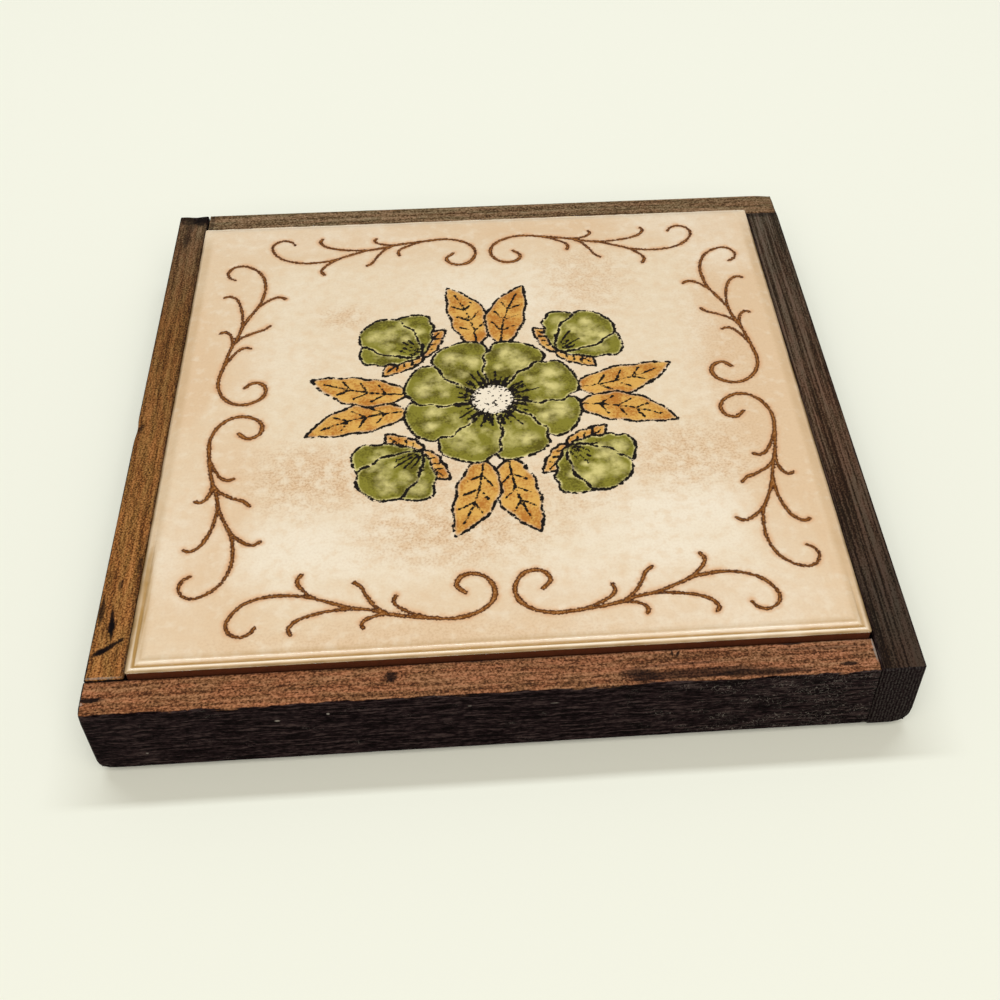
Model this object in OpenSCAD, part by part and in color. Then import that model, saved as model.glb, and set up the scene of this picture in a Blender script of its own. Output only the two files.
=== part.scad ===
// Tile trivet: a glazed clay tile bedded on a base board, in a frame of four butted wood rails.
// Millimetres, +Z up, front along -Y. The origin is on the table, under the centre of the frame.

/* [Tile] */
// Side of the square tile
tile_side = 152.4; // [120:0.1:210]
// Thickness of the tile at its raised field
tile_thick = 7.9; // [6:0.1:14]
// Width of the low ledge that runs round the raised field
ledge_width = 2; // [0.6:0.1:3]
// Drop from the raised field to the ledge
ledge_drop = 0.45; // [0.2:0.05:1]
// Corner radius of the raised field, seen from above
field_corner = 1; // [0.5:0.1:6]
// Corner radius of the clay body, seen from above
tile_corner = 0.5; // [0.3:0.1:2]
// Depth of the keying grooves in the tile's back
groove_depth = 0.8; // [0.4:0.1:2]
// Width of one keying groove
groove_width = 5; // [3:0.5:8]
// Distance from one keying groove to the next
groove_pitch = 12; // [9:0.5:20]
// Plain border round the grooves on the tile's back
groove_border = 10; // [5:1:20]

/* [Adhesive] */
// Thickness of the adhesive after the tile was pressed down
adhesive_thick = 0.95; // [0.4:0.05:3]
// Width of one flattened daub of adhesive
daub_across = 26; // [15:1:30]
// Daubs along each side of the tile
daub_rows = 3; // [2:1:4]
// Distance from a corner daub's centre to the edges of the tile
daub_border = 30; // [20:1:32]

/* [Base board] */
// Thickness of the base board
board_thick = 12.7; // [8:0.1:16]

/* [Frame rails] */
// Width of the front rail, seen from above
front_rail_width = 8.3; // [6:0.1:14]
// Width of the left rail, seen from above
left_rail_width = 8; // [6:0.1:14]
// Width of the back rail, seen from above
back_rail_width = 8.7; // [6:0.1:14]
// Width of the right rail, seen from above
right_rail_width = 9.2; // [6:0.1:14]
// Height of a rail
rail_height = 19.4; // [17.5:0.1:24]
// Gap between the tile and the rails
tile_gap = 0.4; // [0.2:0.05:1]
// Worn radius of the rails' upper edges
top_wear = 0.4; // [0.2:0.1:1]
// Worn radius of the rails' lower outer edges
bottom_wear = 1; // [0.2:0.1:2.5]
// Worn radius of the right rail's lower outer edge
right_bottom_wear = 2.2; // [0.2:0.1:2.5]
// Worn radius of the lower corner at a rail's free end
corner_wear = 2.2; // [0.5:0.1:3]
// Worn radius of the lower corner at the right rail's free end
right_corner_wear = 0.5; // [0.2:0.1:3]
// Worn radius of the upright corner at a rail's free end
end_wear = 0.8; // [0.3:0.1:2.5]
// Open joint at the front left corner
joint_front_left = 0.5; // [0:0.1:1.5]
// Open joint at the back left corner
joint_back_left = 0.4; // [0:0.1:1.5]
// Open joint at the back right corner
joint_back_right = 0.1; // [0:0.1:1.5]
// Open joint at the front right corner
joint_front_right = 0.2; // [0:0.1:1.5]

/* [Brads] */
// Thickness of the brads' wire
brad_wire = 1.2; // [0.9:0.1:1.8]
// Length of a brad
brad_length = 18; // [14:1:24]
// Width of a brad's head
brad_head = 2; // [1.9:0.1:3]
// Thickness of a brad's head
brad_head_thick = 0.7; // [0.4:0.1:1.2]
// Length of a brad's point
brad_point = 2; // [1:0.1:3]
// Depth that a brad's head is set below the rail's face
brad_set = 1.2; // [0.8:0.1:2]
// Brads in each rail
brads_per_rail = 3; // [2:1:5]
// Distance from the outermost brads to the corners of the board
brad_border = 24; // [22:1:37]
// Radial clearance of the wire in its hole
brad_fit = 0.02; // [0.01:0.01:0.1]

/* [Feet] */
// Width of a cork foot
foot_across = 12.7; // [8:0.1:20]
// Thickness of a cork foot
foot_thick = 1.6; // [1:0.1:4]
// Distance from the rails' inner faces to a foot's edge
foot_border = 3; // [1:0.5:20]

/* [Hidden] */
$fn = 64;
// Segments in each rounded edge and corner
arc_steps = 6;
// Overrun of the cutting shapes
overrun = 1;
opening_side = tile_side + 2 * tile_gap;
opening_half = opening_side / 2;
rail_widths = [front_rail_width, left_rail_width, back_rail_width, right_rail_width];
corner_wears = [corner_wear, corner_wear, corner_wear, right_corner_wear];
bottom_wears = [bottom_wear, bottom_wear, bottom_wear, right_bottom_wear];
// Middle of the opening, which the unequal rails push off the middle of the frame
middle_right = (left_rail_width - right_rail_width) / 2;
middle_back = (front_rail_width - back_rail_width) / 2;
board_top = foot_thick + board_thick;
tile_bottom = board_top + adhesive_thick;
ledge_height = tile_thick - ledge_drop;
field_side = tile_side - 2 * ledge_width;
groove_count = floor((tile_side - 2 * groove_border - groove_width) / groove_pitch) + 1;
groove_span = (groove_count - 1) * groove_pitch;
daub_span = tile_side - 2 * daub_border;
brad_level = foot_thick + board_thick / 2;
brad_span = opening_side - 2 * brad_border;
foot_place = opening_half - foot_border - foot_across / 2;
stain = "#3b2417";
worn_stain = "#6f4326";

// Points of a quarter circle round [x, y], counter-clockwise from an angle, or one point with no radius
function quarter(x, y, radius, start) = [
    for (step = [0 : radius > 0 ? arc_steps : 0])
        let (angle = start + 90 * step / arc_steps)
            [x + radius * cos(angle), y + radius * sin(angle)]
];

// Rectangle from [0, 0] whose corners have their own radii, counter-clockwise from the lower left
module rounded_rectangle(size, radii) {
    polygon(concat(
        quarter(radii[0], radii[0], radii[0], 180),
        quarter(size[0] - radii[1], radii[1], radii[1], 270),
        quarter(size[0] - radii[2], size[1] - radii[2], radii[2], 0),
        quarter(radii[3], size[1] - radii[3], radii[3], 90)
    ));
}

// Puts what is built round the middle of the opening in its place in the frame
module in_opening() {
    translate([middle_right, middle_back, 0]) children();
}

// Square slab round the Z axis with rounded corners
module rounded_slab(side, corner, height) {
    translate([-side / 2, -side / 2, 0])
        linear_extrude(height)
            rounded_rectangle([side, side], [corner, corner, corner, corner]);
}

// Turns the front of the opening to each side in turn: front, left, back, right
module turn_to_side(side) {
    in_opening()
        rotate([0, 0, -90 * side]) children();
}

// Puts the children at the face of the rail on one side, at each brad, with +Z driven inwards
module at_brads(side) {
    turn_to_side(side)
        for (brad = [0 : brads_per_rail - 1])
            translate([
                brad_span * (brad / (brads_per_rail - 1) - 1 / 2),
                -opening_half - rail_widths[side],
                brad_level
            ])
                rotate([-90, 0, 0]) children();
}

// Hole for one brad: a wide mouth for the head and its filler, then a close hole for the wire
module brad_hole() {
    translate([0, 0, -overrun])
        cylinder(d = brad_head + 2 * brad_fit, h = overrun + brad_set + brad_head_thick);
    cylinder(d = brad_wire + 2 * brad_fit, h = brad_set + brad_length);
}

// A headed brad with a turned point, its head set below the face
module brad() {
    translate([0, 0, brad_set]) {
        cylinder(d = brad_head, h = brad_head_thick);
        cylinder(d = brad_wire, h = brad_length - brad_point);
        translate([0, 0, brad_length - brad_point])
            cylinder(d1 = brad_wire, d2 = 0, h = brad_point);
    }
}

// Stick of a length, width and height from the origin, with its free end at the left and its outside in front
module worn_stick(size, corner, bottom) {
    intersection() {
        translate([0, size[1], 0])
            rotate([90, 0, 0])
                linear_extrude(size[1])
                    rounded_rectangle([size[0], size[2]], [corner, 0, top_wear, top_wear]);
        rotate([90, 0, 90])
            linear_extrude(size[0])
                rounded_rectangle([size[1], size[2]], [bottom, 0, top_wear, top_wear]);
        linear_extrude(size[2])
            rounded_rectangle([size[0], size[1]], [end_wear, 0, 0, 0]);
    }
}

// One rail: its free end is the frame's corner, its other end butts on the next rail with an open joint
module rail(side, joint) {
    rail_width = rail_widths[side];
    corner_width = rail_widths[(side + 1) % len(rail_widths)];
    difference() {
        turn_to_side(side)
            translate([-opening_half - corner_width, -opening_half - rail_width, foot_thick])
                worn_stick(
                    [opening_side + corner_width - joint, rail_width, rail_height],
                    corner_wears[side],
                    bottom_wears[side]
                );
        at_brads(side) brad_hole();
    }
}

module front_rail() {
    color(worn_stain) rail(0, joint_front_right);
}

module left_rail() {
    color(worn_stain) rail(1, joint_front_left);
}

module back_rail() {
    color(stain) rail(2, joint_back_left);
}

module right_rail() {
    color(stain) rail(3, joint_back_right);
}

// Plywood square that fills the frame and holds the rails' brads
module base_board() {
    color("#c09a68")
        difference() {
            in_opening()
                translate([-opening_half, -opening_half, foot_thick])
                    cube([opening_side, opening_side, board_thick]);
            for (side = [0 : 3]) at_brads(side) brad_hole();
        }
}

// Clay tile with a raised glazed field inside a low ledge, and keying grooves across its back
module tile() {
    color("#ead9b8")
        in_opening()
            translate([0, 0, tile_bottom])
                difference() {
                    union() {
                        rounded_slab(tile_side, tile_corner, ledge_height);
                        rounded_slab(field_side, field_corner, tile_thick);
                    }
                    for (groove = [0 : groove_count - 1])
                        translate([
                            groove * groove_pitch - (groove_span + groove_width) / 2,
                            -tile_side / 2 + groove_border,
                            -overrun
                        ])
                            cube([groove_width, tile_side - 2 * groove_border, overrun + groove_depth]);
                }
}

// Daubs of adhesive, pressed flat between the board and the tile
module tile_adhesive() {
    color("#b9ad97")
        in_opening()
            for (row = [0 : daub_rows - 1], daub = [0 : daub_rows - 1])
                translate([
                    daub_span * (daub / (daub_rows - 1) - 1 / 2),
                    daub_span * (row / (daub_rows - 1) - 1 / 2),
                    board_top
                ])
                    cylinder(d = daub_across, h = adhesive_thick);
}

// Brads through the rails into the edges of the board
module rail_brads() {
    color("#8d8a84")
        for (side = [0 : 3]) at_brads(side) brad();
}

// Stained filler that hides each brad's head
module brad_fillers() {
    color(stain)
        for (side = [0 : 3]) at_brads(side) cylinder(d = brad_head, h = brad_set);
}

// Cork disc glued under one corner of the board
module cork_foot(left_right, front_back) {
    color("#b98a5a")
        in_opening()
            translate([left_right * foot_place, front_back * foot_place, 0])
                cylinder(d = foot_across, h = foot_thick);
}

module foot_front_left() {
    cork_foot(-1, -1);
}

module foot_front_right() {
    cork_foot(1, -1);
}

module foot_back_left() {
    cork_foot(-1, 1);
}

module foot_back_right() {
    cork_foot(1, 1);
}

front_rail();
left_rail();
back_rail();
right_rail();
base_board();
tile();
tile_adhesive();
rail_brads();
brad_fillers();
foot_front_left();
foot_front_right();
foot_back_left();
foot_back_right();
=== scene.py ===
"""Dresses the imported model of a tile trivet: a glazed clay tile in a frame of four worn wood rails."""

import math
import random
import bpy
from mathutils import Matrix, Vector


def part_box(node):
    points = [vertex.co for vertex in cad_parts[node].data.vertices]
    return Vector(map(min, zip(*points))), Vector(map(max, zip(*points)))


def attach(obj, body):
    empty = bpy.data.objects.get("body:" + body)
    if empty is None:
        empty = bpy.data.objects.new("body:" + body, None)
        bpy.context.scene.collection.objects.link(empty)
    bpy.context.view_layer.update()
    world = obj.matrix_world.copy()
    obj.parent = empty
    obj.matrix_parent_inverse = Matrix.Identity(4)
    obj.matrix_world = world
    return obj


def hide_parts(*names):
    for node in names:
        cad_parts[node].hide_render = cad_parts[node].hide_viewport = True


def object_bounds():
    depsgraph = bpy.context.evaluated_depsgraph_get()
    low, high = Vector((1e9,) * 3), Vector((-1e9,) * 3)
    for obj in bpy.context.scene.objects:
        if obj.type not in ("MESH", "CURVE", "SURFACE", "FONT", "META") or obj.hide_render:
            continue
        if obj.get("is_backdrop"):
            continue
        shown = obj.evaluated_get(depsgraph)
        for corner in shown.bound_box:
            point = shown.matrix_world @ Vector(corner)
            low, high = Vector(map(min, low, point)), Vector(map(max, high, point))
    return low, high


bl_info = {
    "name": "Tile trivet",
    "version": (1, 0, 0),
    "blender": (4, 5, 0),
    "location": "3D View > Sidebar > Trivet",
    "description": "Dresses the packed tile trivet with its glaze, wood and cork, in a plain studio",
    "category": "Add Mesh",
}

from functools import partial

import bmesh
import bpy
from bpy.props import FloatProperty, FloatVectorProperty, PointerProperty
from mathutils import Matrix, Quaternion, Vector, kdtree, noise
from mathutils.geometry import interpolate_bezier

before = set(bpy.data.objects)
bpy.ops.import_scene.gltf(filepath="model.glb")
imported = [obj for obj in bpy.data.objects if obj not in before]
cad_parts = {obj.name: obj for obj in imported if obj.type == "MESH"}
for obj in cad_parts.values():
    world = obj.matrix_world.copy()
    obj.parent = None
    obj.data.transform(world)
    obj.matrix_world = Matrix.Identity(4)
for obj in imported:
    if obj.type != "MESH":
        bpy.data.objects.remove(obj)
CAD_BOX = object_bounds()

# Metres in one millimetre, because Blender works in metres
MM = 0.001
ROOT = "root"
SIDES = ("front", "left", "back", "right")
CORNERS = ("front_left", "front_right", "back_left", "back_right")
# Edges sharper than this stay sharp in shading
SHARP_ANGLE = math.radians(50)
TILE_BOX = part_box("tile")
TILE_MIDDLE = (TILE_BOX[0] + TILE_BOX[1]) / 2


def linear(code):
    """Linear red, green and blue of an sRGB hex colour."""
    parts = [int(code[place : place + 2], 16) / 255 for place in (1, 3, 5)]
    return tuple(part / 12.92 if part <= 0.04045 else ((part + 0.055) / 1.055) ** 2.4 for part in parts)


def length(name, description, millimetres):
    """A length that the user can change, with its default in millimetres."""
    return FloatProperty(
        name=name, description=description, default=millimetres * MM, unit="LENGTH", precision=5
    )


def angle(name, description, degrees):
    """An angle that the user can change, with its default in degrees."""
    return FloatProperty(name=name, description=description, default=math.radians(degrees), unit="ROTATION")


def colour(name, description, code):
    """A colour that the user can change, with its default as an sRGB hex value."""
    return FloatVectorProperty(
        name=name, description=description, default=linear(code), subtype="COLOR", size=3, min=0, max=1
    )


class TrivetTileSettings(bpy.types.PropertyGroup):
    """Sizes and colours of the glazed tile."""

    cell: length("Grid cell", "Side of one cell of the glazed face away from the fired lines", 0.8)
    fine_band: length("Fine band", "Reach of the halved cells on both sides of a fired line", 1.2)
    print_right: length("Print offset right", "Shift of the decoration to the right of the middle", 0.85)
    print_back: length("Print offset back", "How far the decoration sits behind the tile's middle", -0.1)
    scroll_reach: length("Scroll reach", "Distance from the print's middle to the outside of the scrolls", 69)
    scroll_width: length("Scroll line width", "Width of a scroll's stem", 0.92)
    sprig_width: length("Sprig line width", "Width of the small sprigs on a scroll", 0.75)
    wreath_reach: length("Wreath reach", "Distance from the print's middle to the tips of the wreath", 46)
    ink_width: length("Ink width", "Width of the dark outline round petals and leaves", 0.68)
    vein_width: length("Vein width", "Width of the dark strokes inside petals and leaves", 0.55)
    sink: length("Line depth", "Depth of the scroll lines below the glaze", 0.08)
    shoulder: length("Line shoulder", "Height of the glaze beside a scroll line", 0.03)
    dome: length("Glaze dome", "Rise of the coloured glaze inside its outline", 0.07)
    headroom: length("Headroom", "Depth of the plain glaze below the highest point of the tile", 0.12)
    ledge_width: length("Ledge width", "Width of the ledge round the raised field", 2)
    ledge_drop: length("Ledge drop", "Drop from the raised field to the ledge", 0.45)
    field_corner: length("Field corner", "Corner radius of the raised field", 1)
    body_corner: length("Body corner", "Corner radius of the clay body", 0.5)
    glaze_skirt: length("Glaze skirt", "How far the glaze runs down the side below the ledge", 0.3)
    groove_depth: length("Key groove depth", "Depth of the keying grooves in the tile's back", 0.8)
    groove_width: length("Key groove width", "Width of a keying groove in the tile's back", 5)
    groove_pitch: length("Key groove pitch", "Distance from one keying groove to the next", 12)
    groove_border: length("Key groove border", "Plain border round the keying grooves", 10)
    pale: colour("Pale glaze", "Palest cream of the glaze", "#F6E9D1")
    cream: colour("Cream glaze", "Common cream of the glaze", "#EEDBBC")
    sand: colour("Sand glaze", "Warmer cream of the border and of the clouds", "#E6C8A2")
    blush: colour("Blush glaze", "Brown grains in the clouds", "#C9A27A")
    halo: colour("Scroll halo", "Orange tint of the glaze beside the scrolls", "#DFB389")
    honey: colour("Honey glaze", "Dark yellow of the glaze where it pools in the ledge", "#B08A50")
    brown: colour("Scroll brown", "Fired brown of the scrolls", "#7A4509")
    dark_brown: colour("Scroll dark brown", "Dark edges of the scrolls", "#421D00")
    rust: colour("Scroll rust", "Light grains in the middle of the scrolls", "#BE8348")
    olive: colour("Olive glaze", "Common green of the petals", "#87812A")
    deep_olive: colour("Deep olive glaze", "Dark green grains in the petals", "#59510F")
    lime: colour("Lime glaze", "Pale yellow-green where the petals' glaze runs thin", "#E2D68A")
    amber: colour("Amber glaze", "Common amber of the leaves", "#E0AE58")
    deep_amber: colour("Deep amber glaze", "Brown grains in the leaves", "#BB782E")
    ink: colour("Ink", "Dark outline of petals and leaves", "#0E0500")
    clay: colour("Bare clay", "Unglazed clay of the tile's sides and back", "#5E2C12")


class TrivetRailSettings(bpy.types.PropertyGroup):
    """Sizes and colours of the wood rails."""

    slice_step: length("Slice step", "Distance between the cuts across a rail, along which it wears", 1.2)
    arris_wear: length("Edge wear", "Deepest wear of the rails' edges", 0.22)
    stain: colour("Stain", "Dark stain on the unworn faces", "#1D1214")
    deep_stain: colour("Deep stain", "Darkest stain, in pores and knocks", "#060102")
    dusty_stain: colour("Dusty stain", "Stain rubbed grey on the raised grain", "#443735")
    scratch: colour("Scratch", "Pale scratches and chips", "#A49C92")


class TrivetFootSettings(bpy.types.PropertyGroup):
    """Sizes and colours of the cork feet."""

    edge: length("Cork edge", "Rounding of a foot's edges", 0.25)
    cork: colour("Cork", "Common colour of the cork", "#B0804F")
    dark_cork: colour("Dark cork", "Dark grains in the cork", "#6E4526")


class TrivetBoardSettings(bpy.types.PropertyGroup):
    """Colours of the board, the adhesive and the brads."""

    veneer: colour("Veneer", "Light wood of the board's veneer", "#C8A374")
    late_wood: colour("Late wood", "Dark lines in the veneer's grain", "#9C7445")
    adhesive: colour("Adhesive", "Dried adhesive under the tile", "#B9AD97")
    steel: colour("Brad steel", "Drawn steel wire of the brads", "#A5A29B")


class TrivetStageSettings(bpy.types.PropertyGroup):
    """The plain studio: floor, lights and camera."""

    floor_side: length("Floor side", "Side of the floor", 6000)
    floor_colour: colour("Floor colour", "Pale colour of the floor", "#F6F7E8")
    room: FloatProperty(name="Room", description="Strength of the faint light from all round", default=0.2)
    lamp_distance: length("Lamp distance", "Distance of both lamps from the object", 2000)
    strip_power: FloatProperty(
        name="Strip power", description="Power of the narrow lamp behind the object", default=17, unit="POWER"
    )
    strip_height: angle("Strip height", "Angle of the narrow lamp above the horizon", 71.6)
    strip_length: length("Strip length", "Length of the narrow lamp", 2000)
    strip_width: length("Strip width", "Width of the narrow lamp", 175)
    strip_colour: colour("Strip colour", "Cool white of the narrow lamp", "#F2F8FF")
    soft_power: FloatProperty(
        name="Soft power", description="Power of the wide lamp above the object", default=33.8, unit="POWER"
    )
    soft_height: angle("Soft height", "Angle of the wide lamp above the viewer's horizon", 52)
    soft_length: length("Soft length", "Length of the wide lamp", 2400)
    soft_width: length("Soft width", "Width of the wide lamp", 1800)
    soft_colour: colour("Soft colour", "Warm white of the wide lamp and the room", "#FFFBF5")
    lens: FloatProperty(name="Lens", description="Focal length on a sensor of 36 millimetres", default=47.52)
    roll: angle("Roll", "Turn of the camera round its own axis", 0.431)
    shift_right: FloatProperty(name="Shift across", description="Sideways picture shift", default=-0.0535)
    shift_up: FloatProperty(name="Shift up", description="Upward picture shift", default=-0.0105)


SETTINGS = {
    "trivet_tile": TrivetTileSettings,
    "trivet_rails": TrivetRailSettings,
    "trivet_feet": TrivetFootSettings,
    "trivet_board": TrivetBoardSettings,
    "trivet_stage": TrivetStageSettings,
}


# Depth of each material's fine relief
RELIEFS = {
    "glaze": 0.02 * MM,
    "clay": 0.12 * MM,
    "wood": 0.15 * MM,
    "veneer": 0.08 * MM,
    "mastic": 0.2 * MM,
    "filler": 0.1 * MM,
    "cork": 0.2 * MM,
}


def add_node(tree, kind, *inputs, output=None, named=None, stops=(), **settings):
    """Adds a shader node with its settings and inputs, and gives the named output or the first in use."""
    node = tree.nodes.new("ShaderNode" + kind)
    for name, value in settings.items():
        setattr(node, name, value)
    fed = [*zip([socket for socket in node.inputs if socket.enabled], inputs)]
    fed += [(node.inputs[key], value) for key, value in (named or {}).items()]
    for socket, value in fed:
        if isinstance(value, bpy.types.NodeSocket):
            tree.links.new(value, socket)
        else:
            socket.default_value = (*value, 1) if socket.type == "RGBA" else value
    for place, (position, shade) in enumerate(stops):
        elements = node.color_ramp.elements
        element = elements[place] if place < 2 else elements.new(position)
        element.position = position
        element.color = (*shade, 1)
    first = next(socket for socket in node.outputs if socket.enabled)
    return node.outputs[output] if output else first


def new_material(name, middle=(0, 0, 0)):
    """A node material: gives it, its node adder, its shader's feeder and the place in millimetres."""
    material = bpy.data.materials.new(name)
    material.use_nodes = True
    tree = material.node_tree
    add = partial(add_node, tree)
    place = add("TexCoord", output="Object")
    place = add("Mapping", place, [-part / MM for part in middle], (0, 0, 0), (1 / MM,) * 3)
    return material, add, partial(feed, tree), place


def feed(tree, **values):
    """Sets or links the Principled shader's inputs by their names, with underscores for spaces."""
    for name, value in values.items():
        socket = tree.nodes["Principled BSDF"].inputs[name.replace("_", " ")]
        if isinstance(value, bpy.types.NodeSocket):
            tree.links.new(value, socket)
        else:
            socket.default_value = value


def times(colour_parts, share):
    """A colour made darker or lighter by a share."""
    return tuple(part * share for part in colour_parts)


# How far the noise of the next seed lies from the last one's, and how rough all noise is
SEED_STEP = (7, 3, -5)
NOISE_ROUGHNESS = 0.55


def grain(add, place, size, seed, detail=2.0, output="Fac"):
    """Noise whose features have the given size in millimetres, or one size along each axis of the place."""
    size = size if isinstance(size, tuple) else (size,) * 3
    moved = [step * seed for step in SEED_STEP]
    scaled = add("Mapping", place, moved, (0, 0, 0), size, vector_type="TEXTURE")
    named = {"Scale": 1, "Detail": detail, "Roughness": NOISE_ROUGHNESS}
    return add("TexNoise", scaled, named=named, output=output)


# Size of the rags along a patch's edge, as a share of its reach
RAG_SHARE = 0.4


def patch(add, place, centre, reach, turn, ragged, seed, soft):
    """Share from 1 in the middle of a ragged ellipsoid, turned in degrees, to 0 outside its soft edge."""
    local = add("Mapping", place, centre, (0, 0, math.radians(turn)), reach, vector_type="TEXTURE")
    distance = add("VectorMath", local, operation="LENGTH", output="Value")
    rough = grain(add, place, tuple(side * RAG_SHARE for side in reach), seed, 3)
    wander = add("Math", rough, 0.5, operation="SUBTRACT")
    distance = add("Math", wander, ragged * 2, distance, operation="MULTIPLY_ADD")
    return add("MapRange", distance, 1 + soft, 1 - soft, interpolation_type="SMOOTHSTEP")


def piece(mesh, name, slot, *nodes):
    """Makes an object of a bmesh: it rides on the root and stands for nodes, which it hides. The slot is not
    used.
    """
    data = bpy.data.meshes.new(name)
    mesh.to_mesh(data)
    mesh.free()
    made = bpy.data.objects.new(name, data)
    bpy.context.scene.collection.objects.link(made)
    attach(made, ROOT)
    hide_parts(*nodes)
    return made


def dress(name, material):
    """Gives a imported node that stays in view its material."""
    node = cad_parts[name]
    node.data.materials.clear()
    node.data.materials.append(material)


def bell(distance, reach):
    """Share from 1 at no distance down to nothing, in the shape of a bell."""
    return math.exp(-((distance / reach) ** 2))


def smooth(value, low, high):
    """Share from 0 at low to 1 at high, eased at both ends."""
    share = min(max((value - low) / (high - low), 0), 1)
    return share * share * (3 - 2 * share)


# Points of one scroll as shares of the scroll reach: along the side from its middle, and outwards
STEM_SHARES = (
    (0.120, 0.872),
    (0.145, 0.842),
    (0.130, 0.808),
    (0.093, 0.797),
    (0.055, 0.815),
    (0.031, 0.862),
    (0.040, 0.911),
    (0.083, 0.951),
    (0.150, 0.970),
    (0.235, 0.962),
    (0.320, 0.947),
    (0.406, 0.922),
    (0.472, 0.907),
    (0.536, 0.881),
    (0.588, 0.858),
    (0.640, 0.848),
    (0.700, 0.845),
    (0.758, 0.857),
    (0.806, 0.886),
    (0.838, 0.937),
    (0.832, 0.977),
    (0.798, 0.998),
    (0.766, 0.988),
    (0.751, 0.966),
)
SPRIG_SHARES = (
    ((0.333, 0.870), (0.339, 0.890), (0.326, 0.914), (0.285, 0.940), (0.235, 0.961)),
    ((0.461, 0.810), (0.439, 0.830), (0.424, 0.864), (0.393, 0.911), (0.351, 0.939), (0.300, 0.953)),
    ((0.622, 0.765), (0.634, 0.788), (0.624, 0.815), (0.588, 0.852), (0.538, 0.881)),
    ((0.428, 0.988), (0.433, 0.971), (0.413, 0.951), (0.371, 0.941), (0.320, 0.947)),
    ((0.642, 0.997), (0.649, 0.976), (0.625, 0.946), (0.572, 0.925), (0.500, 0.914), (0.430, 0.917)),
)
# Width of a stem from its bold curl to its thin one, and of a sprig from its tip to its root
STEM_TAPER_SHARES = (1.12, 0.82)
SPRIG_TAPER_SHARES = (1.2, 0.95)


def smooth_path(points, step):
    """Points at most a step apart on a smooth curve through the given points."""
    path = []
    last = len(points) - 1
    for place in range(last):
        start, end = points[place], points[place + 1]
        lead = (end - points[max(place - 1, 0)]) / 6
        trail = (points[min(place + 2, last)] - start) / 6
        count = math.ceil((end - start).length / step) + 2
        path += interpolate_bezier(start, start + lead, end - trail, end, count)[:-1]
    return path + [points[last]]


# Distance over which the pressure of the hand changes
PRESSURE_SPAN = 2.5 * MM


class Strokes:
    """Drawn lines, kept as points with half widths, that tell how far away their edge is."""

    def __init__(self):
        self.points = []
        self.halves = []

    def add(self, path, width, wander, taper=(1, 1)):
        """Adds a line that tapers from start to end, thinner and thicker by turns as a hand draws it."""
        for place, point in enumerate(path):
            pressure = 1 + wander * noise.noise(point.to_3d() / PRESSURE_SPAN)
            pressure *= taper[0] + (taper[1] - taper[0]) * place / len(path)
            self.points.append(point)
            self.halves.append(width / 2 * pressure)

    def finish(self):
        """Sorts the points for quick searches."""
        self.tree = kdtree.KDTree(len(self.points))
        for place, point in enumerate(self.points):
            self.tree.insert(point.to_3d(), place)
        self.tree.balance()

    def gap(self, point, limit):
        """Distance from a point to the edge of the nearest line, below zero inside it."""
        _, place, distance = self.tree.find(point.to_3d())
        return min(distance - self.halves[place], limit)


# Distance between the sample points of a drawn line
SAMPLE_STEP = 0.15 * MM
# How far the hand wanders from the pattern, and over what distance
HAND_WANDER = 0.3 * MM
HAND_SPAN = 14 * MM
# Layers of the noise that moves the hand to the right and backwards
HAND_LAYERS = (0.4, 4.4)
# Distance beyond which a fired line no longer matters
FAR = 4 * MM
# Share by which the lines of the front side are bolder than those of the middle
BOLDNESS_SHARE = 0.07
# Shares by which the width of each kind of line changes with the hand's pressure
SCROLL_PRESSURE_SHARE = 0.3
INK_PRESSURE_SHARE = 0.6
RING_PRESSURE_SHARE = 0.8
TICK_PRESSURE_SHARE = 0.4


def by_hand(point):
    """A point of the pattern, moved a little as a hand-drawn line strays, and the same way each run."""
    place = point / HAND_SPAN
    stray = Vector([noise.noise(Vector((*place, layer))) for layer in HAND_LAYERS])
    return point + stray * HAND_WANDER


def scroll_strokes(tile, centre):
    """The scrolls: one motif and its mirror image on each of the four sides."""
    strokes = Strokes()
    lines = [(STEM_SHARES, tile.scroll_width, STEM_TAPER_SHARES)]
    lines += [(sprig, tile.sprig_width, SPRIG_TAPER_SHARES) for sprig in SPRIG_SHARES]
    for turn in range(4):
        side = Matrix.Rotation(turn * math.pi / 2, 2)
        for hand in (-1, 1):
            for shares, width, taper in lines:
                corners = [side @ Vector((hand * along, -out)) * tile.scroll_reach for along, out in shares]
                path = [centre + by_hand(point) for point in smooth_path(corners, SAMPLE_STEP)]
                boldness = 1 - BOLDNESS_SHARE * path[0].y / tile.scroll_reach
                strokes.add(path, width * boldness, SCROLL_PRESSURE_SHARE, taper)
    strokes.finish()
    return strokes


def on_circle(centre, radius, bearing):
    """Point of a circle."""
    return centre + Vector((math.cos(bearing), math.sin(bearing))) * radius


# Depth of a blade's ruffles as a share of its width, and their least and greatest number
RUFFLE_SHARE = 0.06
RUFFLES = (5, 8)
# A leaf's rib, and where its side veins leave it, how far they reach along it and how far across
RIB_SHARES = (0.04, 0.3, 0.58, 0.84)
SIDE_VEIN_SHARES = (0.2, 0.38, 0.56)
SIDE_VEIN_END_SHARES = (0.11, 0.62)
# A petal's rays: where they start, their places across and reaches, and how much the reaches vary
RAY_START_SHARE = 0.08
RAY_SHARES = ((-0.5, 0.3), (-0.2, 0.42), (0.12, 0.34), (0.45, 0.38))
RAY_SPREAD_SHARES = (0.7, 1.2)
# A petal's pale spots: their places along and across and their reaches, and how much the reaches vary
GLOW_SHARES = ((0.6, -0.25, 0.2), (0.74, 0.3, 0.17), (0.45, 0.35, 0.1))
GLOW_SPREAD_SHARES = (0.6, 1.15)


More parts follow.
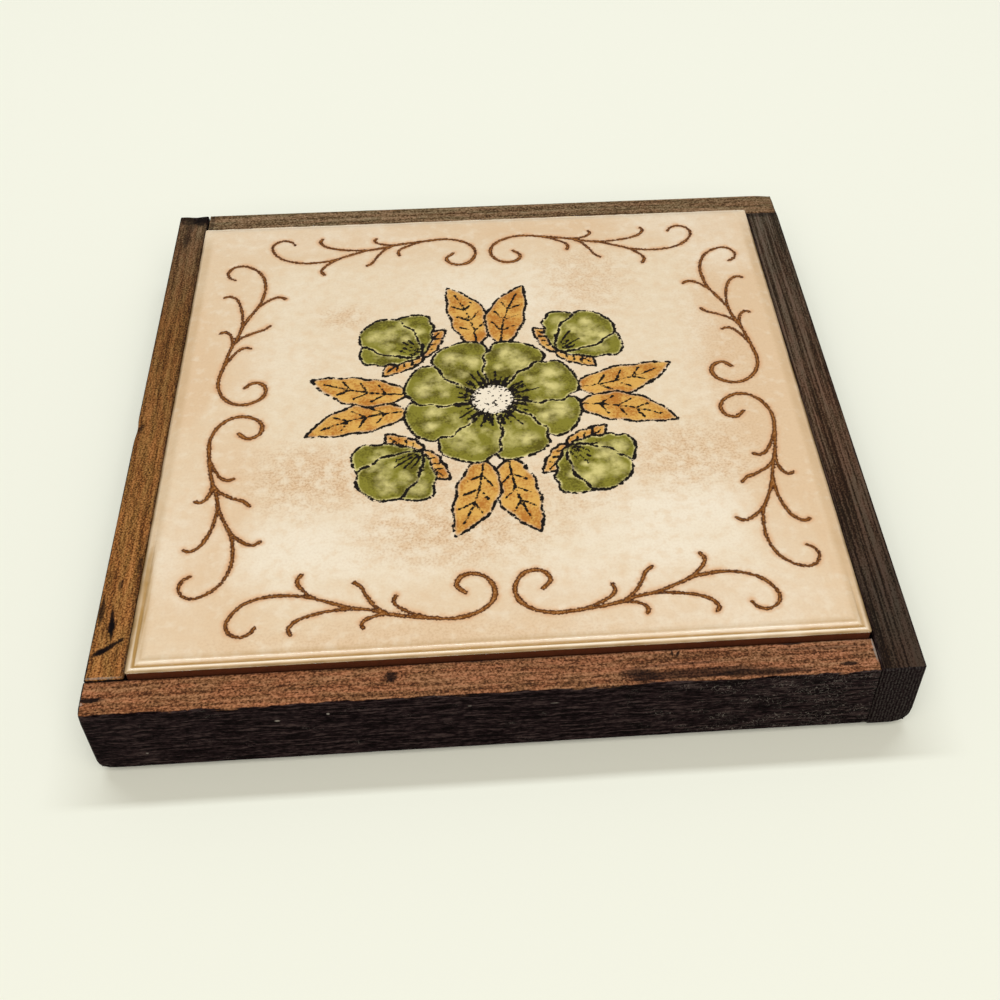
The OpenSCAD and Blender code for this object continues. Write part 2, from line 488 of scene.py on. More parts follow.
class Blade:
    """A petal or a leaf of the wreath: its root, heading, reach, width and how full its root and tip are."""

    def __init__(self, kind, root, heading, reach, width, powers, bend=0.0):
        self.kind = kind
        self.root = root
        self.turn = Matrix.Rotation(-heading, 2)
        self.reach = reach
        self.width = width
        self.powers = powers
        self.bend = bend
        widest = powers[0] / sum(powers)
        self.peak = widest ** powers[0] * (1 - widest) ** powers[1]
        self.chance = random.Random(round(heading * 1000) + round(reach / MM))
        self.ruffles = self.chance.uniform(*RUFFLES)

    def half(self, share):
        """Half width at a share of the reach."""
        plain = share ** self.powers[0] * (1 - share) ** self.powers[1] / self.peak
        return self.width / 2 * plain * (1 + RUFFLE_SHARE * math.sin(self.ruffles * math.pi * share))

    def centreline(self, share):
        """Sideways place of the middle at a share of the reach."""
        return 4 * self.bend * self.reach * share * (1 - share)

    def at(self, share, across):
        """Point at a share of the reach and a share of the half width."""
        local = Vector((share * self.reach, self.centreline(share) + across * self.half(share)))
        return self.root + local @ self.turn

    def covers(self, point):
        """Whether a point lies inside the outline."""
        local = (point - self.root) @ self.turn.transposed()
        share = local.x / self.reach
        return 0 < share < 1 and abs(local.y - self.centreline(share)) < self.half(share)

    def outline(self):
        """Points all the way round."""
        count = math.ceil(math.pi * self.reach / SAMPLE_STEP / 2)
        shares = [(1 - math.cos(math.pi * step / count)) / 2 for step in range(count + 1)]
        return [self.at(share, 1) for share in shares] + [self.at(share, -1) for share in reversed(shares)]

    def veins(self):
        """Corner points of the strokes inside the outline: a rib with side veins, or rays from the root."""
        lines = []
        if self.kind == "leaf":
            lines.append([self.at(share, 0) for share in RIB_SHARES])
            along, across = SIDE_VEIN_END_SHARES
            for share in SIDE_VEIN_SHARES:
                lines += [[self.at(share, 0), self.at(share + along, side * across)] for side in (-1, 1)]
            return lines
        for across, reach in RAY_SHARES:
            shares = (RAY_START_SHARE, reach / 2, reach * self.chance.uniform(*RAY_SPREAD_SHARES))
            lines.append([self.at(share, across) for share in shares])
        return lines

    def glows(self):
        """Places where the glaze has run thin and pale, with their reach."""
        spots = []
        for along, across, reach in GLOW_SHARES:
            spread = self.chance.uniform(*GLOW_SPREAD_SHARES)
            spots.append((self.at(along, across), reach * self.reach * spread))
        return spots


# The wreath in shares of its reach: eight petals, four fans of three petals, and leaves between them. A pair
# spreads by a share of a half turn and bends by a share of its own reach, and a fan's side petals are smaller
HEART_SHARE = 0.115
ROSETTE_SHARES = {"root": 0.06, "reach": 0.42, "width": 0.32}
FAN_SHARES = {"root": 0.53, "reach": 0.39, "width": 0.28, "spread": 0.2, "bend": 0.05, "side": 0.9}
LEAF_SHARES = {"root": 0.46, "reach": 0.53, "width": 0.215, "spread": 0.09, "bend": 0.06}
CALYX_SHARES = {"root": 0.52, "reach": 0.25, "width": 0.13, "spread": 0.43, "bend": 0.1}
# How full the root and the tip of each kind of blade are
FULLNESS_SHARES = {"petal": (0.75, 0.36), "leaf": (0.62, 0.9)}
# How far a blade strays from its heading, in radians, and from its reach, as a share
STRAY = 0.05


def wreath_blades(tile, centre):
    """Petals and leaves, with the ones that lie on top first."""
    size = tile.wreath_reach
    jitter = random.Random(11)
    blades = []

    def grow(kind, shares, bearing, hand=0, scale=1.0, along=0.0):
        turn = hand * shares.get("spread", 0) * math.pi
        root = on_circle(centre, shares["root"] * size, bearing + along * turn)
        stray = jitter.uniform(-STRAY, STRAY)
        reach, width = (shares[side] * size * scale for side in ("reach", "width"))
        bend = -hand * shares.get("bend", 0)
        blades.append(
            Blade(kind, root, bearing + turn + stray, reach * (1 + stray), width, FULLNESS_SHARES[kind], bend)
        )

    for place in range(8):
        grow("petal", ROSETTE_SHARES, (place + 0.5) * math.pi / 4)
    for place in range(4):
        bearing = (place + 0.5) * math.pi / 2
        grow("petal", FAN_SHARES, bearing)
        for hand in (-1, 1):
            grow("petal", FAN_SHARES, bearing, hand, FAN_SHARES["side"])
        for hand in (-1, 1):
            grow("leaf", CALYX_SHARES, bearing, hand)
    for place in range(4):
        for hand in (-1, 1):
            grow("leaf", LEAF_SHARES, place * math.pi / 2, hand, along=0.5)
    return blades


# Dark ticks round the heart of the rosette: number, least and greatest reach in shares of the wreath's, where
# they end inside the heart, taper, and how far they stray from an even spacing
TICKS = 24
TICK_SHARES = (0.02, 0.09)
TICK_END_SHARE = 0.85
TICK_TAPER_SHARES = (1.5, 0.8)
TICK_STRAY_SHARE = 0.25
# Points of the ring round the heart
RING_POINTS = 180


def wreath_strokes(tile, blades, centre):
    """The dark outlines and veins that show, where no blade lies over them, and the outlines alone."""
    outlines, ink = Strokes(), Strokes()
    heart = HEART_SHARE * tile.wreath_reach
    for place, blade in enumerate(blades):
        above = blades[:place]

        def shows(point):
            return (point - centre).length > heart and not any(other.covers(point) for other in above)

        outline = [point for point in blade.outline() if shows(point)]
        for strokes in (outlines, ink):
            strokes.add(outline, tile.ink_width, INK_PRESSURE_SHARE)
        for corners in blade.veins():
            vein = [point for point in smooth_path(corners, SAMPLE_STEP) if shows(point)]
            ink.add(vein, tile.vein_width, INK_PRESSURE_SHARE)
    ring = [on_circle(centre, heart, 2 * math.pi * step / RING_POINTS) for step in range(RING_POINTS)]
    for strokes in (ink, outlines):
        strokes.add(ring, tile.vein_width, RING_PRESSURE_SHARE)
    chance = random.Random(5)
    for tick in range(TICKS):
        bearing = 2 * math.pi * (tick + chance.uniform(-TICK_STRAY_SHARE, TICK_STRAY_SHARE)) / TICKS
        reach = heart + chance.uniform(*TICK_SHARES) * tile.wreath_reach
        ends = [on_circle(centre, reach, bearing), on_circle(centre, heart * TICK_END_SHARE, bearing)]
        ink.add(smooth_path(ends, SAMPLE_STEP), tile.vein_width, TICK_PRESSURE_SHARE, TICK_TAPER_SHARES)
    outlines.finish()
    ink.finish()
    return outlines, ink


# Rim of the glaze: shares of the ledge's width, outwards, and of its drop, in front and at the back
RIM_SHARES = (
    (-0.60, 0.00, 0.00),
    (-0.45, 0.02, 0.01),
    (-0.34, 0.06, 0.03),
    (-0.26, 0.04, 0.06),
    (-0.17, 0.07, 0.10),
    (-0.08, 0.15, 0.15),
    (0.01, 0.27, 0.21),
    (0.08, 0.50, 0.26),
    (0.14, 0.80, 0.31),
    (0.19, 0.95, 0.36),
    (0.25, 1.00, 0.42),
    (0.31, 0.95, 0.48),
    (0.40, 0.85, 0.57),
    (0.47, 0.82, 0.64),
    (0.54, 0.86, 0.72),
    (0.62, 0.95, 0.82),
    (0.70, 1.05, 0.94),
    (0.79, 1.17, 1.10),
    (0.88, 1.31, 1.28),
    (0.95, 1.45, 1.45),
    (1.00, 1.66, 1.66),
)
# Where the glaze begins to fill the ledge and where it has filled it, from the tile's middle backwards: on
# the left side, then on the right side
FILL_SPANS = ((-62 * MM, -24 * MM), (-72 * MM, -54 * MM))
# Thickness of the glaze where it ends on the clay, and how unevenly it ends, over a long and a short distance
LIP = 0.1 * MM
LIP_WANDER = 0.12 * MM
LIP_SPANS = (7 * MM, 2 * MM)
# Rounding of the tile's lower edge
CLAY_EDGE = 0.5 * MM
# Beside a scroll line: where the glaze is back at its height, where it stands proud and how far that reaches
SINK_REACH = 0.7 * MM
BANK_PLACE = 0.9 * MM
BANK_REACH = 0.4 * MM
# Where the dome of a coloured glaze begins and ends its rise, inwards from the middle of its outline
DOME_SPAN = (0.2 * MM, 1.8 * MM)
# Height of the glaze's slow swells, and the distance from one to the next
SWELL = 0.02 * MM
SWELL_SPAN = 11 * MM
# Difference below which two heights are the same
TOUCH = 0.001 * MM
# How far from the print's middle the wreath may reach, as a share of its reach
WREATH_ROOM_SHARE = 1.1
# What each point of the glazed face knows of the lines fired into it
FIELDS = ("scroll", "ink", "petal", "leaf", "glow", "heart")


class Ring:
    """A rounded square outline of the tile, at one height in front and at another at the back."""

    def __init__(self, half, corner, height, back_height):
        self.core = half - corner
        self.corner = corner
        self.height = height
        self.rise = back_height - height

    def move(self, vert, old):
        """Moves a corner of the mesh from an old ring to this one."""
        anchor = Vector([min(max(part, -old.core), old.core) for part in vert.co.xy])
        outwards = (vert.co.xy - anchor).normalized()
        place = anchor * self.core / old.core + outwards * self.corner
        vert.co = (*place, self.height + self.rise * smooth(place.y, *FILL_SPANS[place.x > 0]))


def round_corners(mesh, half, corner):
    """Bends the corners of a square grid into arcs of the given radius."""
    core = half - corner
    for vert in mesh.verts:
        over = Vector((abs(vert.co.x) - core, abs(vert.co.y) - core)) / corner
        if min(over) > 0:
            bent = Vector((over.x * math.sqrt(1 - over.y**2 / 2), over.y * math.sqrt(1 - over.x**2 / 2)))
            vert.co.x = math.copysign(core + bent.x * corner, vert.co.x)
            vert.co.y = math.copysign(core + bent.y * corner, vert.co.y)


def refine(mesh, near):
    """Halves the cells of a grid whose middles are near something."""
    edges = {edge for face in mesh.faces if near(face.calc_center_median()) for edge in face.edges}
    bmesh.ops.subdivide_edges(mesh, edges=list(edges), cuts=1, use_grid_fill=True)


def close_back(mesh, edges, tile, height):
    """Closes the underside of the tile and presses the keying grooves into it."""
    filled = bmesh.ops.edgeloop_fill(mesh, edges=edges, mat_nr=1)["faces"]
    half = max(vert.co.x for vert in filled[0].verts) + CLAY_EDGE
    count = math.floor((2 * half - 2 * tile.groove_border - tile.groove_width) / tile.groove_pitch) + 1
    starts = [(place - (count - 1) / 2) * tile.groove_pitch - tile.groove_width / 2 for place in range(count)]
    cuts = [((start + over, 0, 0), (1, 0, 0)) for start in starts for over in (0, tile.groove_width)]
    cuts += [((0, side * (half - tile.groove_border), 0), (0, 1, 0)) for side in (-1, 1)]
    for place, normal in cuts:
        faces = [face for face in mesh.faces if all(abs(vert.co.z - height) < TOUCH for vert in face.verts)]
        geometry = [*faces, *{edge for face in faces for edge in face.edges}]
        geometry += list({vert for face in faces for vert in face.verts})
        bmesh.ops.bisect_plane(mesh, geom=geometry, plane_co=place, plane_no=normal)
    grooves = []
    for face in mesh.faces:
        middle = face.calc_center_median()
        low = abs(middle.z - height) < TOUCH
        inside = any(start < middle.x < start + tile.groove_width for start in starts)
        if low and inside and abs(middle.y) < half - tile.groove_border:
            grooves.append(face)
    raised = bmesh.ops.extrude_face_region(mesh, geom=grooves)["geom"]
    verts = [part for part in raised if isinstance(part, bmesh.types.BMVert)]
    bmesh.ops.translate(mesh, verts=verts, vec=(0, 0, tile.groove_depth))


def glazed_face(mesh, tile, top):
    """Lifts and sinks the glazed face by what is fired into it, and notes how far each point is from it."""
    centre = Vector((tile.print_right, tile.print_back))
    scrolls = scroll_strokes(tile, centre)
    blades = wreath_blades(tile, centre)
    outlines, ink = wreath_strokes(tile, blades, centre)
    reach = tile.wreath_reach * WREATH_ROOM_SHARE
    heart = HEART_SHARE * tile.wreath_reach
    glows = [glow for blade in blades if blade.kind == "petal" for glow in blade.glows()]

    def near(point):
        flat = point.xy
        if (flat - centre).length < reach and ink.gap(flat, FAR) < tile.fine_band:
            return True
        return scrolls.gap(flat, FAR) < tile.fine_band

    refine(mesh, near)
    layers = {name: mesh.verts.layers.float.new(name) for name in FIELDS}
    for vert in mesh.verts:
        flat = vert.co.xy
        gap = scrolls.gap(flat, FAR)
        vert[layers["scroll"]] = gap / MM
        lift = -tile.sink * (1 - smooth(gap, 0, SINK_REACH))
        lift += tile.shoulder * bell(gap - BANK_PLACE, BANK_REACH)
        from_centre = (flat - centre).length
        vert[layers["heart"]] = (from_centre - heart) / MM
        vert[layers["ink"]] = FAR / MM
        for name in ("petal", "leaf"):
            vert[layers[name]] = -FAR / MM
        if from_centre < reach:
            vert[layers["ink"]] = ink.gap(flat, FAR) / MM
            depth = outlines.gap(flat, FAR) + tile.ink_width / 2
            kind = next((blade.kind for blade in blades if blade.covers(flat)), None)
            for name in ("petal", "leaf"):
                vert[layers[name]] = depth / MM if name == kind else -depth / MM
            vert[layers["glow"]] = max(bell((flat - spot).length, wide) for spot, wide in glows)
            if kind and from_centre > heart:
                lift += tile.dome * smooth(depth, *DOME_SPAN)
        lift += SWELL * noise.noise(vert.co / SWELL_SPAN)
        vert.co.z = top - tile.headroom + lift


def tile_mesh(tile):
    """The tile: a raised glazed field, a ledge, a skirt of glaze, and a bare clay side and back."""
    low, high = TILE_BOX
    body = (high.x - low.x) / 2
    field = body - tile.ledge_width
    rim = []
    for out, *drops in RIM_SHARES:
        corner = tile.field_corner + (tile.body_corner - tile.field_corner) * max(out, 0)
        heights = [high.z - tile.headroom - drop * tile.ledge_drop for drop in drops]
        rim.append(Ring(field + out * tile.ledge_width, corner, *heights))
    skirt = high.z - tile.headroom - tile.ledge_drop - tile.glaze_skirt
    glaze_end = len(rim)
    below = [
        (body, skirt + LIP),
        (body - LIP / 4, skirt),
        (body - LIP, skirt - LIP / 4),
        (body - LIP, skirt - LIP * 2),
        (body - LIP, low.z + CLAY_EDGE),
        (body - LIP - CLAY_EDGE / 3, low.z + CLAY_EDGE / 3),
        (body - LIP - CLAY_EDGE, low.z),
    ]
    rim += [Ring(half, tile.body_corner, height, height) for half, height in below]
    half = field + RIM_SHARES[0][0] * tile.ledge_width
    cells = round(2 * half / tile.cell)
    mesh = bmesh.new()
    bmesh.ops.create_grid(mesh, x_segments=cells, y_segments=cells, size=half)
    round_corners(mesh, half, tile.field_corner)
    glazed_face(mesh, tile, high.z)
    edges = [edge for edge in mesh.edges if edge.is_boundary]
    for place in range(1, len(rim)):
        made = bmesh.ops.extrude_edge_only(mesh, edges=edges)["geom"]
        for part in made:
            if isinstance(part, bmesh.types.BMVert):
                rim[place].move(part, rim[place - 1])
            if isinstance(part, bmesh.types.BMFace) and place > glaze_end + 1:
                part.material_index = 1
        edges = [part for part in made if isinstance(part, bmesh.types.BMEdge) and part.is_boundary]
        if place - glaze_end in (0, 1):
            for vert in {vert for edge in edges for vert in edge.verts}:
                spots = [Vector((*vert.co.xy, MM * layer)) for layer in range(2)]
                long, short = (noise.noise(spot / span) for spot, span in zip(spots, LIP_SPANS))
                vert.co.z += LIP_WANDER * (long + short / 2)
    close_back(mesh, edges, tile, low.z)
    bmesh.ops.translate(mesh, verts=mesh.verts, vec=(*TILE_MIDDLE.xy, 0))
    bmesh.ops.recalc_face_normals(mesh, faces=mesh.faces)
    for face in mesh.faces:
        face.smooth = True
    return mesh


# Size in millimetres, seed and detail of the glaze's drifts, sponge marks, grit and specks of oxide
GLAZE_GRAINS = ((20, 3, 4), (2.6, 7, 4), (0.6, 11, 3), (0.32, 17, 2))
# Broad tints of the glaze: place from the tile's middle and reach in millimetres, and strength
PALE_AREAS = (
    ((-44, -47), (34, 14), 1.0),
    ((43, -45), (26, 17), 1.1),
    ((4, 41), (26, 12), 0.8),
    ((-52, 17), (12, 11), 0.7),
    ((38, -68), (32, 9), 1.3),
    ((-66, -45), (8, 26), 0.6),
    ((69, 50), (12, 24), 1.2),
    ((-42, 69), (30, 7), 1.0),
    ((50, 69), (22, 7), 0.8),
    ((-48, 44), (12, 12), 0.4),
    ((54, 12), (8, 22), 0.5),
    ((10, -56), (12, 8), 0.5),
)
CLOUDS = (
    ((-43, -24), (12, 9), 1.0),
    ((-9, -43), (17, 8), 1.0),
    ((46, -22), (14, 9), 0.9),
    ((28, 47), (10, 13), 0.6),
    ((-36, 34), (5, 4), 0.8),
    ((-20, -25), (14, 9), 0.7),
    ((60, 12), (7, 34), 0.35),
    ((-18, -72), (34, 5), 0.4),
    ((16, -32), (12, 8), 0.5),
)
SANDY_AREAS = (
    ((-73, 14), (6, 20), 0.9),
    ((74, -6), (6, 44), 0.9),
    ((16, 72), (18, 5), 0.8),
    ((-16, -73), (26, 5), 0.4),
    ((62, 2), (9, 38), 0.6),
    ((-60, -38), (7, 34), 0.5),
)
# How ragged and how soft the edge of such an area is, and how far it reaches up and down in millimetres
AREA_RAGS = 0.6
AREA_SOFTNESS = 0.8
AREA_DEPTH = 60
# From where to where the border turns sandy, in millimetres from the tile's middle
BORDER_SPAN = (50, 64)
# Lines along the rim of the glaze: place inwards and reach in millimetres, shares of honey and of pale
# The honey lines are glaze pooled in the ledge with painted shade in its hollows; the pale lines are painted
# highlights on its crests
RIM_POOL_SHADE_HIGHLIGHT_LINES = (
    (0.3, 0.45, 0.7, 0.0),
    (0.92, 0.3, 0.0, 0.8),
    (1.5, 0.6, 1.25, 0.0),
    (2.15, 0.25, 0.0, 0.4),
    (2.85, 0.5, 0.28, 0.0),
    (3.3, 0.9, 0.18, 0.0),
)
# From where to where these lines fade on the left side, in millimetres from the tile's middle backwards, and
# how much further forwards on the right side
LINE_FADE = (-72, -52)
RIGHT_LEAD = 12
# The pool of dark glaze along the left side: place along it and reach in millimetres
RUN_PLACE = -58
RUN_REACH = (1.3, 17, 60)
# In millimetres from the tile's outside: where the pool of the sides begins, is full, thins and ends, where
# the honey fades out along the back, and where the glaze runs thin over the edge
POOL_START, POOL_FULL, POOL_THIN, POOL_END = 3.6, 2, 0.9, 0.5
BACK_START, BACK_END = 10, 4
EDGE_START, EDGE_END = 0.75, 0.05


def area_share(add, place, areas, seed):
    """Share of a tint that lies in several soft, ragged areas."""
    total = 0.0
    for number, (middle, reach, strength) in enumerate(areas):
        reach = (*reach, AREA_DEPTH)
        area = patch(add, place, (*middle, 0), reach, 0, AREA_RAGS, seed + number * 5, AREA_SOFTNESS)
        total = add("Math", area, strength, total, operation="MULTIPLY_ADD")
    return total


def cream_glaze(add, place, tile, drift, mottle, grit):
    """The sponged ground: cream with paler and sandier areas, and clouds of brown grains."""
    pale = add("Math", area_share(add, place, PALE_AREAS, 1), drift, operation="MULTIPLY")
    pale = add("MapRange", pale, 0.1, 0.55)
    base = add("Mix", pale, tile.cream, tile.pale, data_type="RGBA")
    right, back, _ = add("SeparateXYZ", add("VectorMath", place, operation="ABSOLUTE")).node.outputs
    edge = add("Math", right, back, operation="MAXIMUM")
    border = add("MapRange", edge, *BORDER_SPAN, 0, 0.55, interpolation_type="SMOOTHSTEP")
    sandy = add("Math", area_share(add, place, SANDY_AREAS, 60), border, operation="ADD")
    uneven = add("MapRange", drift, 0.3, 0.7, 1.4, 0.5)
    sandy = add("Math", sandy, uneven, operation="MULTIPLY", use_clamp=True)
    base = add("Mix", sandy, base, tile.sand, data_type="RGBA")
    cloudy = area_share(add, place, CLOUDS, 120)
    lumps = add("MapRange", mottle, 0.38, 0.62, 0.25, 1)
    cloudy = add("Math", cloudy, lumps, operation="MULTIPLY", use_clamp=True)
    base = add("Mix", cloudy, base, tile.sand, data_type="RGBA")
    grains = add("MapRange", grit, 0.44, 0.64, 0, 1)
    grains = add("Math", grains, add("Math", cloudy, 0.13, operation="ADD"), operation="MULTIPLY")
    base = add("Mix", grains, base, tile.blush, data_type="RGBA")
    base = add("Mix", add("MapRange", mottle, 0.5, 0.7, 0, 0.45), base, tile.sand, data_type="RGBA")
    base = add("Mix", add("MapRange", mottle, 0.46, 0.3, 0, 0.35), base, tile.pale, data_type="RGBA")
    beside = add("MapRange", add("Math", right, back, operation="SUBTRACT"), -0.5, 0.5)
    return rim_glaze(add, place, tile, base, edge, beside)


def rim_glaze(add, place, tile, base, edge, beside):
    """The glaze of the ledge: honey in its pools with painted shade in its hollows, painted highlights on its
    crests, brown where it is thin at the edge.
    """
    half = (TILE_BOX[1].x - TILE_BOX[0].x) / 2 / MM
    right, back, _ = add("SeparateXYZ", place).node.outputs
    drift = add("MapRange", grain(add, place, 9, 43, 3), 0.35, 0.65, 0.7, 1.3)
    span = (half - POOL_START, half - POOL_FULL)
    pool_and_shade = add("MapRange", edge, *span, 0, 0.25, interpolation_type="SMOOTHSTEP")
    pool_and_shade = add("Math", pool_and_shade, beside, operation="MULTIPLY")
    inside = add("MapRange", edge, half - POOL_THIN, half - POOL_END, 1, 0)
    pool_and_shade = add("Math", pool_and_shade, inside, operation="MULTIPLY")
    run = patch(add, place, (RUN_REACH[0] - half, RUN_PLACE, 0), RUN_REACH, 0, 0.5, 47, 0.3)
    pool_and_shade = add("Math", run, 0.45, pool_and_shade, operation="MULTIPLY_ADD")
    # The lines, with their painted shade and painted highlights, show all along the front, and on the sides
    # only next to it
    sooner = add("Math", add("MapRange", right, -1, 1, 0, RIGHT_LEAD), back, operation="ADD")
    seen = add("Math", beside, add("MapRange", sooner, *LINE_FADE, 0.4, 1), operation="MULTIPLY")
    seen = add("Math", 1, seen, operation="SUBTRACT")
    painted_highlight = 0.0
    # Each line adds honey, partly pooled glaze and partly painted shade, and pale, which is a painted
    # highlight
    for inside, width, honey, pale in RIM_POOL_SHADE_HIGHLIGHT_LINES:
        line = add("Math", add("Math", edge, half - inside, operation="SUBTRACT"), operation="ABSOLUTE")
        line = add("MapRange", line, width, 0, interpolation_type="SMOOTHSTEP")
        line = add("Math", line, seen, operation="MULTIPLY")
        pool_and_shade = add("Math", line, honey, pool_and_shade, operation="MULTIPLY_ADD")
        painted_highlight = add("Math", line, pale, painted_highlight, operation="MULTIPLY_ADD")
    ahead = add("MapRange", back, half - BACK_END, half - BACK_START)
    ahead = add("Math", ahead, drift, operation="MULTIPLY")
    pool_and_shade = add("Math", pool_and_shade, ahead, operation="MULTIPLY", use_clamp=True)
    base = add("Mix", pool_and_shade, base, tile.honey, data_type="RGBA")
    # Painted highlights: pale glaze along the rim's crests
    base = add("Mix", painted_highlight, base, tile.pale, data_type="RGBA")
    thin = add("MapRange", edge, half - EDGE_START, half - EDGE_END, 0, 0.9)
    thin = add("Math", thin, ahead, operation="MULTIPLY", use_clamp=True)
    return add("Mix", thin, base, times(tile.honey, 0.5), data_type="RGBA")


# How far the orange halo reaches beside a scroll line, in millimetres
HALO_REACH = 1.3
# Sizes in millimetres of the lumps in the colours, the heart's specks, the ink's bristle marks and its breaks
LUMP, SPECK, BRISTLE, BREAK = 5, 0.8, 0.9, 1.8
# Sizes in millimetres of the banks' long swells and of the ripples in the glaze
BANK_SWELL, RIPPLE = 5, 2.4


def glaze_material(tile):
    """Glazed earthenware, sponged and fired: glossy mottled cream, with fired brown, green and amber."""
    material, add, shader, place = new_material("glazed_earthenware", (*TILE_MIDDLE.xy, 0))
    scroll, ink, petal, leaf, glow, heart = (
        add("Attribute", attribute_name=name, output="Fac") for name in FIELDS
    )
    drift, mottle, grit, fine = (grain(add, place, *each) for each in GLAZE_GRAINS)
    base = cream_glaze(add, place, tile, drift, mottle, grit)

    def uneven(share, noise_share, strength):
        """A share or distance, moved up and down by a noise."""
        stray = add("Math", noise_share, 0.5, operation="SUBTRACT")
        return add("Math", stray, strength, share, operation="MULTIPLY_ADD")

    # Scrolls: dark edges, a grainy rust middle, and an orange halo in the glaze beside them
    fray = uneven(scroll, grit, 1.0)
    halo = add("MapRange", scroll, HALO_REACH, 0, 0, 0.8, interpolation_type="SMOOTHSTEP")
    sponged = add("MapRange", mottle, 0.38, 0.62, 0.2, 1.3)
    halo = add("Math", halo, sponged, operation="MULTIPLY", use_clamp=True)
    base = add("Mix", halo, base, tile.halo, data_type="RGBA")
    halo = add("MapRange", fray, 0.35, 0, 0, 0.45)
    base = add("Mix", halo, base, tile.rust, data_type="RGBA")
    line = add("MapRange", fray, 0.1, -0.06)
    middle = add("MapRange", fray, -0.12, -0.34)
    brown = add("Mix", middle, tile.dark_brown, tile.brown, data_type="RGBA")
    grains = add("MapRange", add("Math", grit, fine, operation="ADD"), 0.95, 1.13, 0, 0.95)
    brown = add("Mix", add("Math", grains, middle, operation="MULTIPLY"), brown, tile.rust, data_type="RGBA")
    base = add("Mix", line, base, brown, data_type="RGBA")
    # Petals: olive that stops short of its outline, with dark grains and spots where it has run thin
    worn_edge = uneven(petal, mottle, 0.8)
    thin = add("Mix", add("MapRange", worn_edge, 0.25, 0.8), tile.lime, tile.olive, data_type="RGBA")
    lumps = add("Math", grit, 0.7, grain(add, place, LUMP, 37, 3), operation="MULTIPLY_ADD")
    green = add("Mix", add("MapRange", lumps, 0.78, 1.0, 0, 0.9), thin, tile.deep_olive, data_type="RGBA")
    bright = add("Math", glow, add("MapRange", mottle, 0.32, 0.62, 0.3, 1.1), operation="MULTIPLY")
    green = add("Mix", add("MapRange", bright, 0.2, 1, 0, 0.9), green, tile.lime, data_type="RGBA")
    base = add("Mix", add("MapRange", worn_edge, 0.02, 0.3), base, green, data_type="RGBA")
    # Leaves: grains of brown in amber, paler at the edge
    worn_edge = uneven(leaf, mottle, 0.8)
    gold = add("Mix", add("MapRange", lumps, 0.76, 1.0), tile.amber, tile.deep_amber, data_type="RGBA")
    gold = add("Mix", add("MapRange", worn_edge, 0.8, 0.2, 0, 0.6), gold, tile.sand, data_type="RGBA")
    base = add("Mix", add("MapRange", worn_edge, 0.02, 0.25), base, gold, data_type="RGBA")
    # Heart of the rosette: bare pale glaze with dark specks
    base = add("Mix", add("MapRange", heart, 0.1, -0.2), base, tile.pale, data_type="RGBA")
    specks = add("MapRange", grain(add, place, SPECK, 23, 1), 0.6, 0.63)
    specks = add("Math", specks, add("MapRange", heart, 0.2, -0.4), operation="MULTIPLY")
    # Ink: ragged and broken, as a brush leaves it on a rough ground
    ragged = uneven(uneven(ink, fine, 0.4), grain(add, place, BRISTLE, 27, 1), 0.9)
    breaks = add("MapRange", grain(add, place, BREAK, 29, 1), 0.28, 0.33, 0.3, 0)
    ragged = add("Math", ragged, breaks, operation="ADD")
    outline = add("Math", add("MapRange", ragged, 0.08, -0.06), specks, operation="MAXIMUM")
    base = add("Mix", outline, base, tile.ink, data_type="RGBA")
    # Glossy, and a little less so where the oxides are thick
    oxide = add("Math", line, outline, operation="MAXIMUM")
    gloss = add("MapRange", oxide, 0, 1, 0.12, 0.17)
    # The glaze stands in soft banks along the scrolls, which catch the light
    height = add("MapRange", scroll, 0.02, 0.6)
    swell = add("MapRange", grain(add, place, BANK_SWELL, 33, 2), 0.35, 0.6, 1.0, 3.4)
    ripples = grain(add, place, RIPPLE, 31, 2)
    height = add("Math", height, swell, ripples, operation="MULTIPLY_ADD")
    bump = add("Bump", named={"Strength": 1.0, "Distance": RELIEFS["glaze"], "Height": height})
    shader(Base_Color=base, Roughness=gloss, Normal=bump, IOR=1.5)
    return material


# Sizes in millimetres of the lumps in the clay and of its crushed grog
CLAY_LUMP, CLAY_GROG = 1.5, 0.5


def clay_material(tile):
    """Fired red earthenware, bare and pressed: matt, gritty, with darker grog."""
    material, add, shader, place = new_material("bare_earthenware")
    body = grain(add, place, CLAY_LUMP, 2, 5)
    grog = grain(add, place, CLAY_GROG, 5, 2)
    base = add("Mix", add("MapRange", body, 0.35, 0.65), times(tile.clay, 0.8), tile.clay, data_type="RGBA")
    base = add("Mix", add("MapRange", grog, 0.62, 0.7, 0, 0.6), base, times(tile.clay, 0.6), data_type="RGBA")
    bump = add("Bump", named={"Strength": 0.8, "Distance": RELIEFS["clay"], "Height": grog})
    shader(Base_Color=base, Roughness=0.9, Normal=bump, Specular_IOR_Level=0.2)
    return material


class TRIVET_OT_tile(bpy.types.Operator):
    """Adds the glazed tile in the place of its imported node"""

    bl_idname = "trivet.tile"
    bl_label = "Glazed tile"

    def execute(self, context):
        """Builds the tile's mesh and gives it its glaze and clay."""
        tile = context.scene.trivet_tile
        made = piece(tile_mesh(tile), "glazed_tile", "glazed_clay", "tile")
        made.data.materials.append(glaze_material(tile))
        made.data.materials.append(clay_material(tile))
        return {"FINISHED"}


# Worn upper faces from each rail's free end: share of the length and colour
RAIL_LOOKS = {
    "front": ((0.0, "#835534"), (0.55, "#7D5133"), (1.0, "#825638")),
    "left": ((0.0, "#624C35"), (0.3, "#6F4A24"), (0.8, "#86582A")),
    "back": ((0.0, "#6F563A"), (1.0, "#725B3F")),
    "right": ((0.0, "#312419"), (0.12, "#33271C"), (0.45, "#4C3726"), (1.0, "#473A2C")),
}
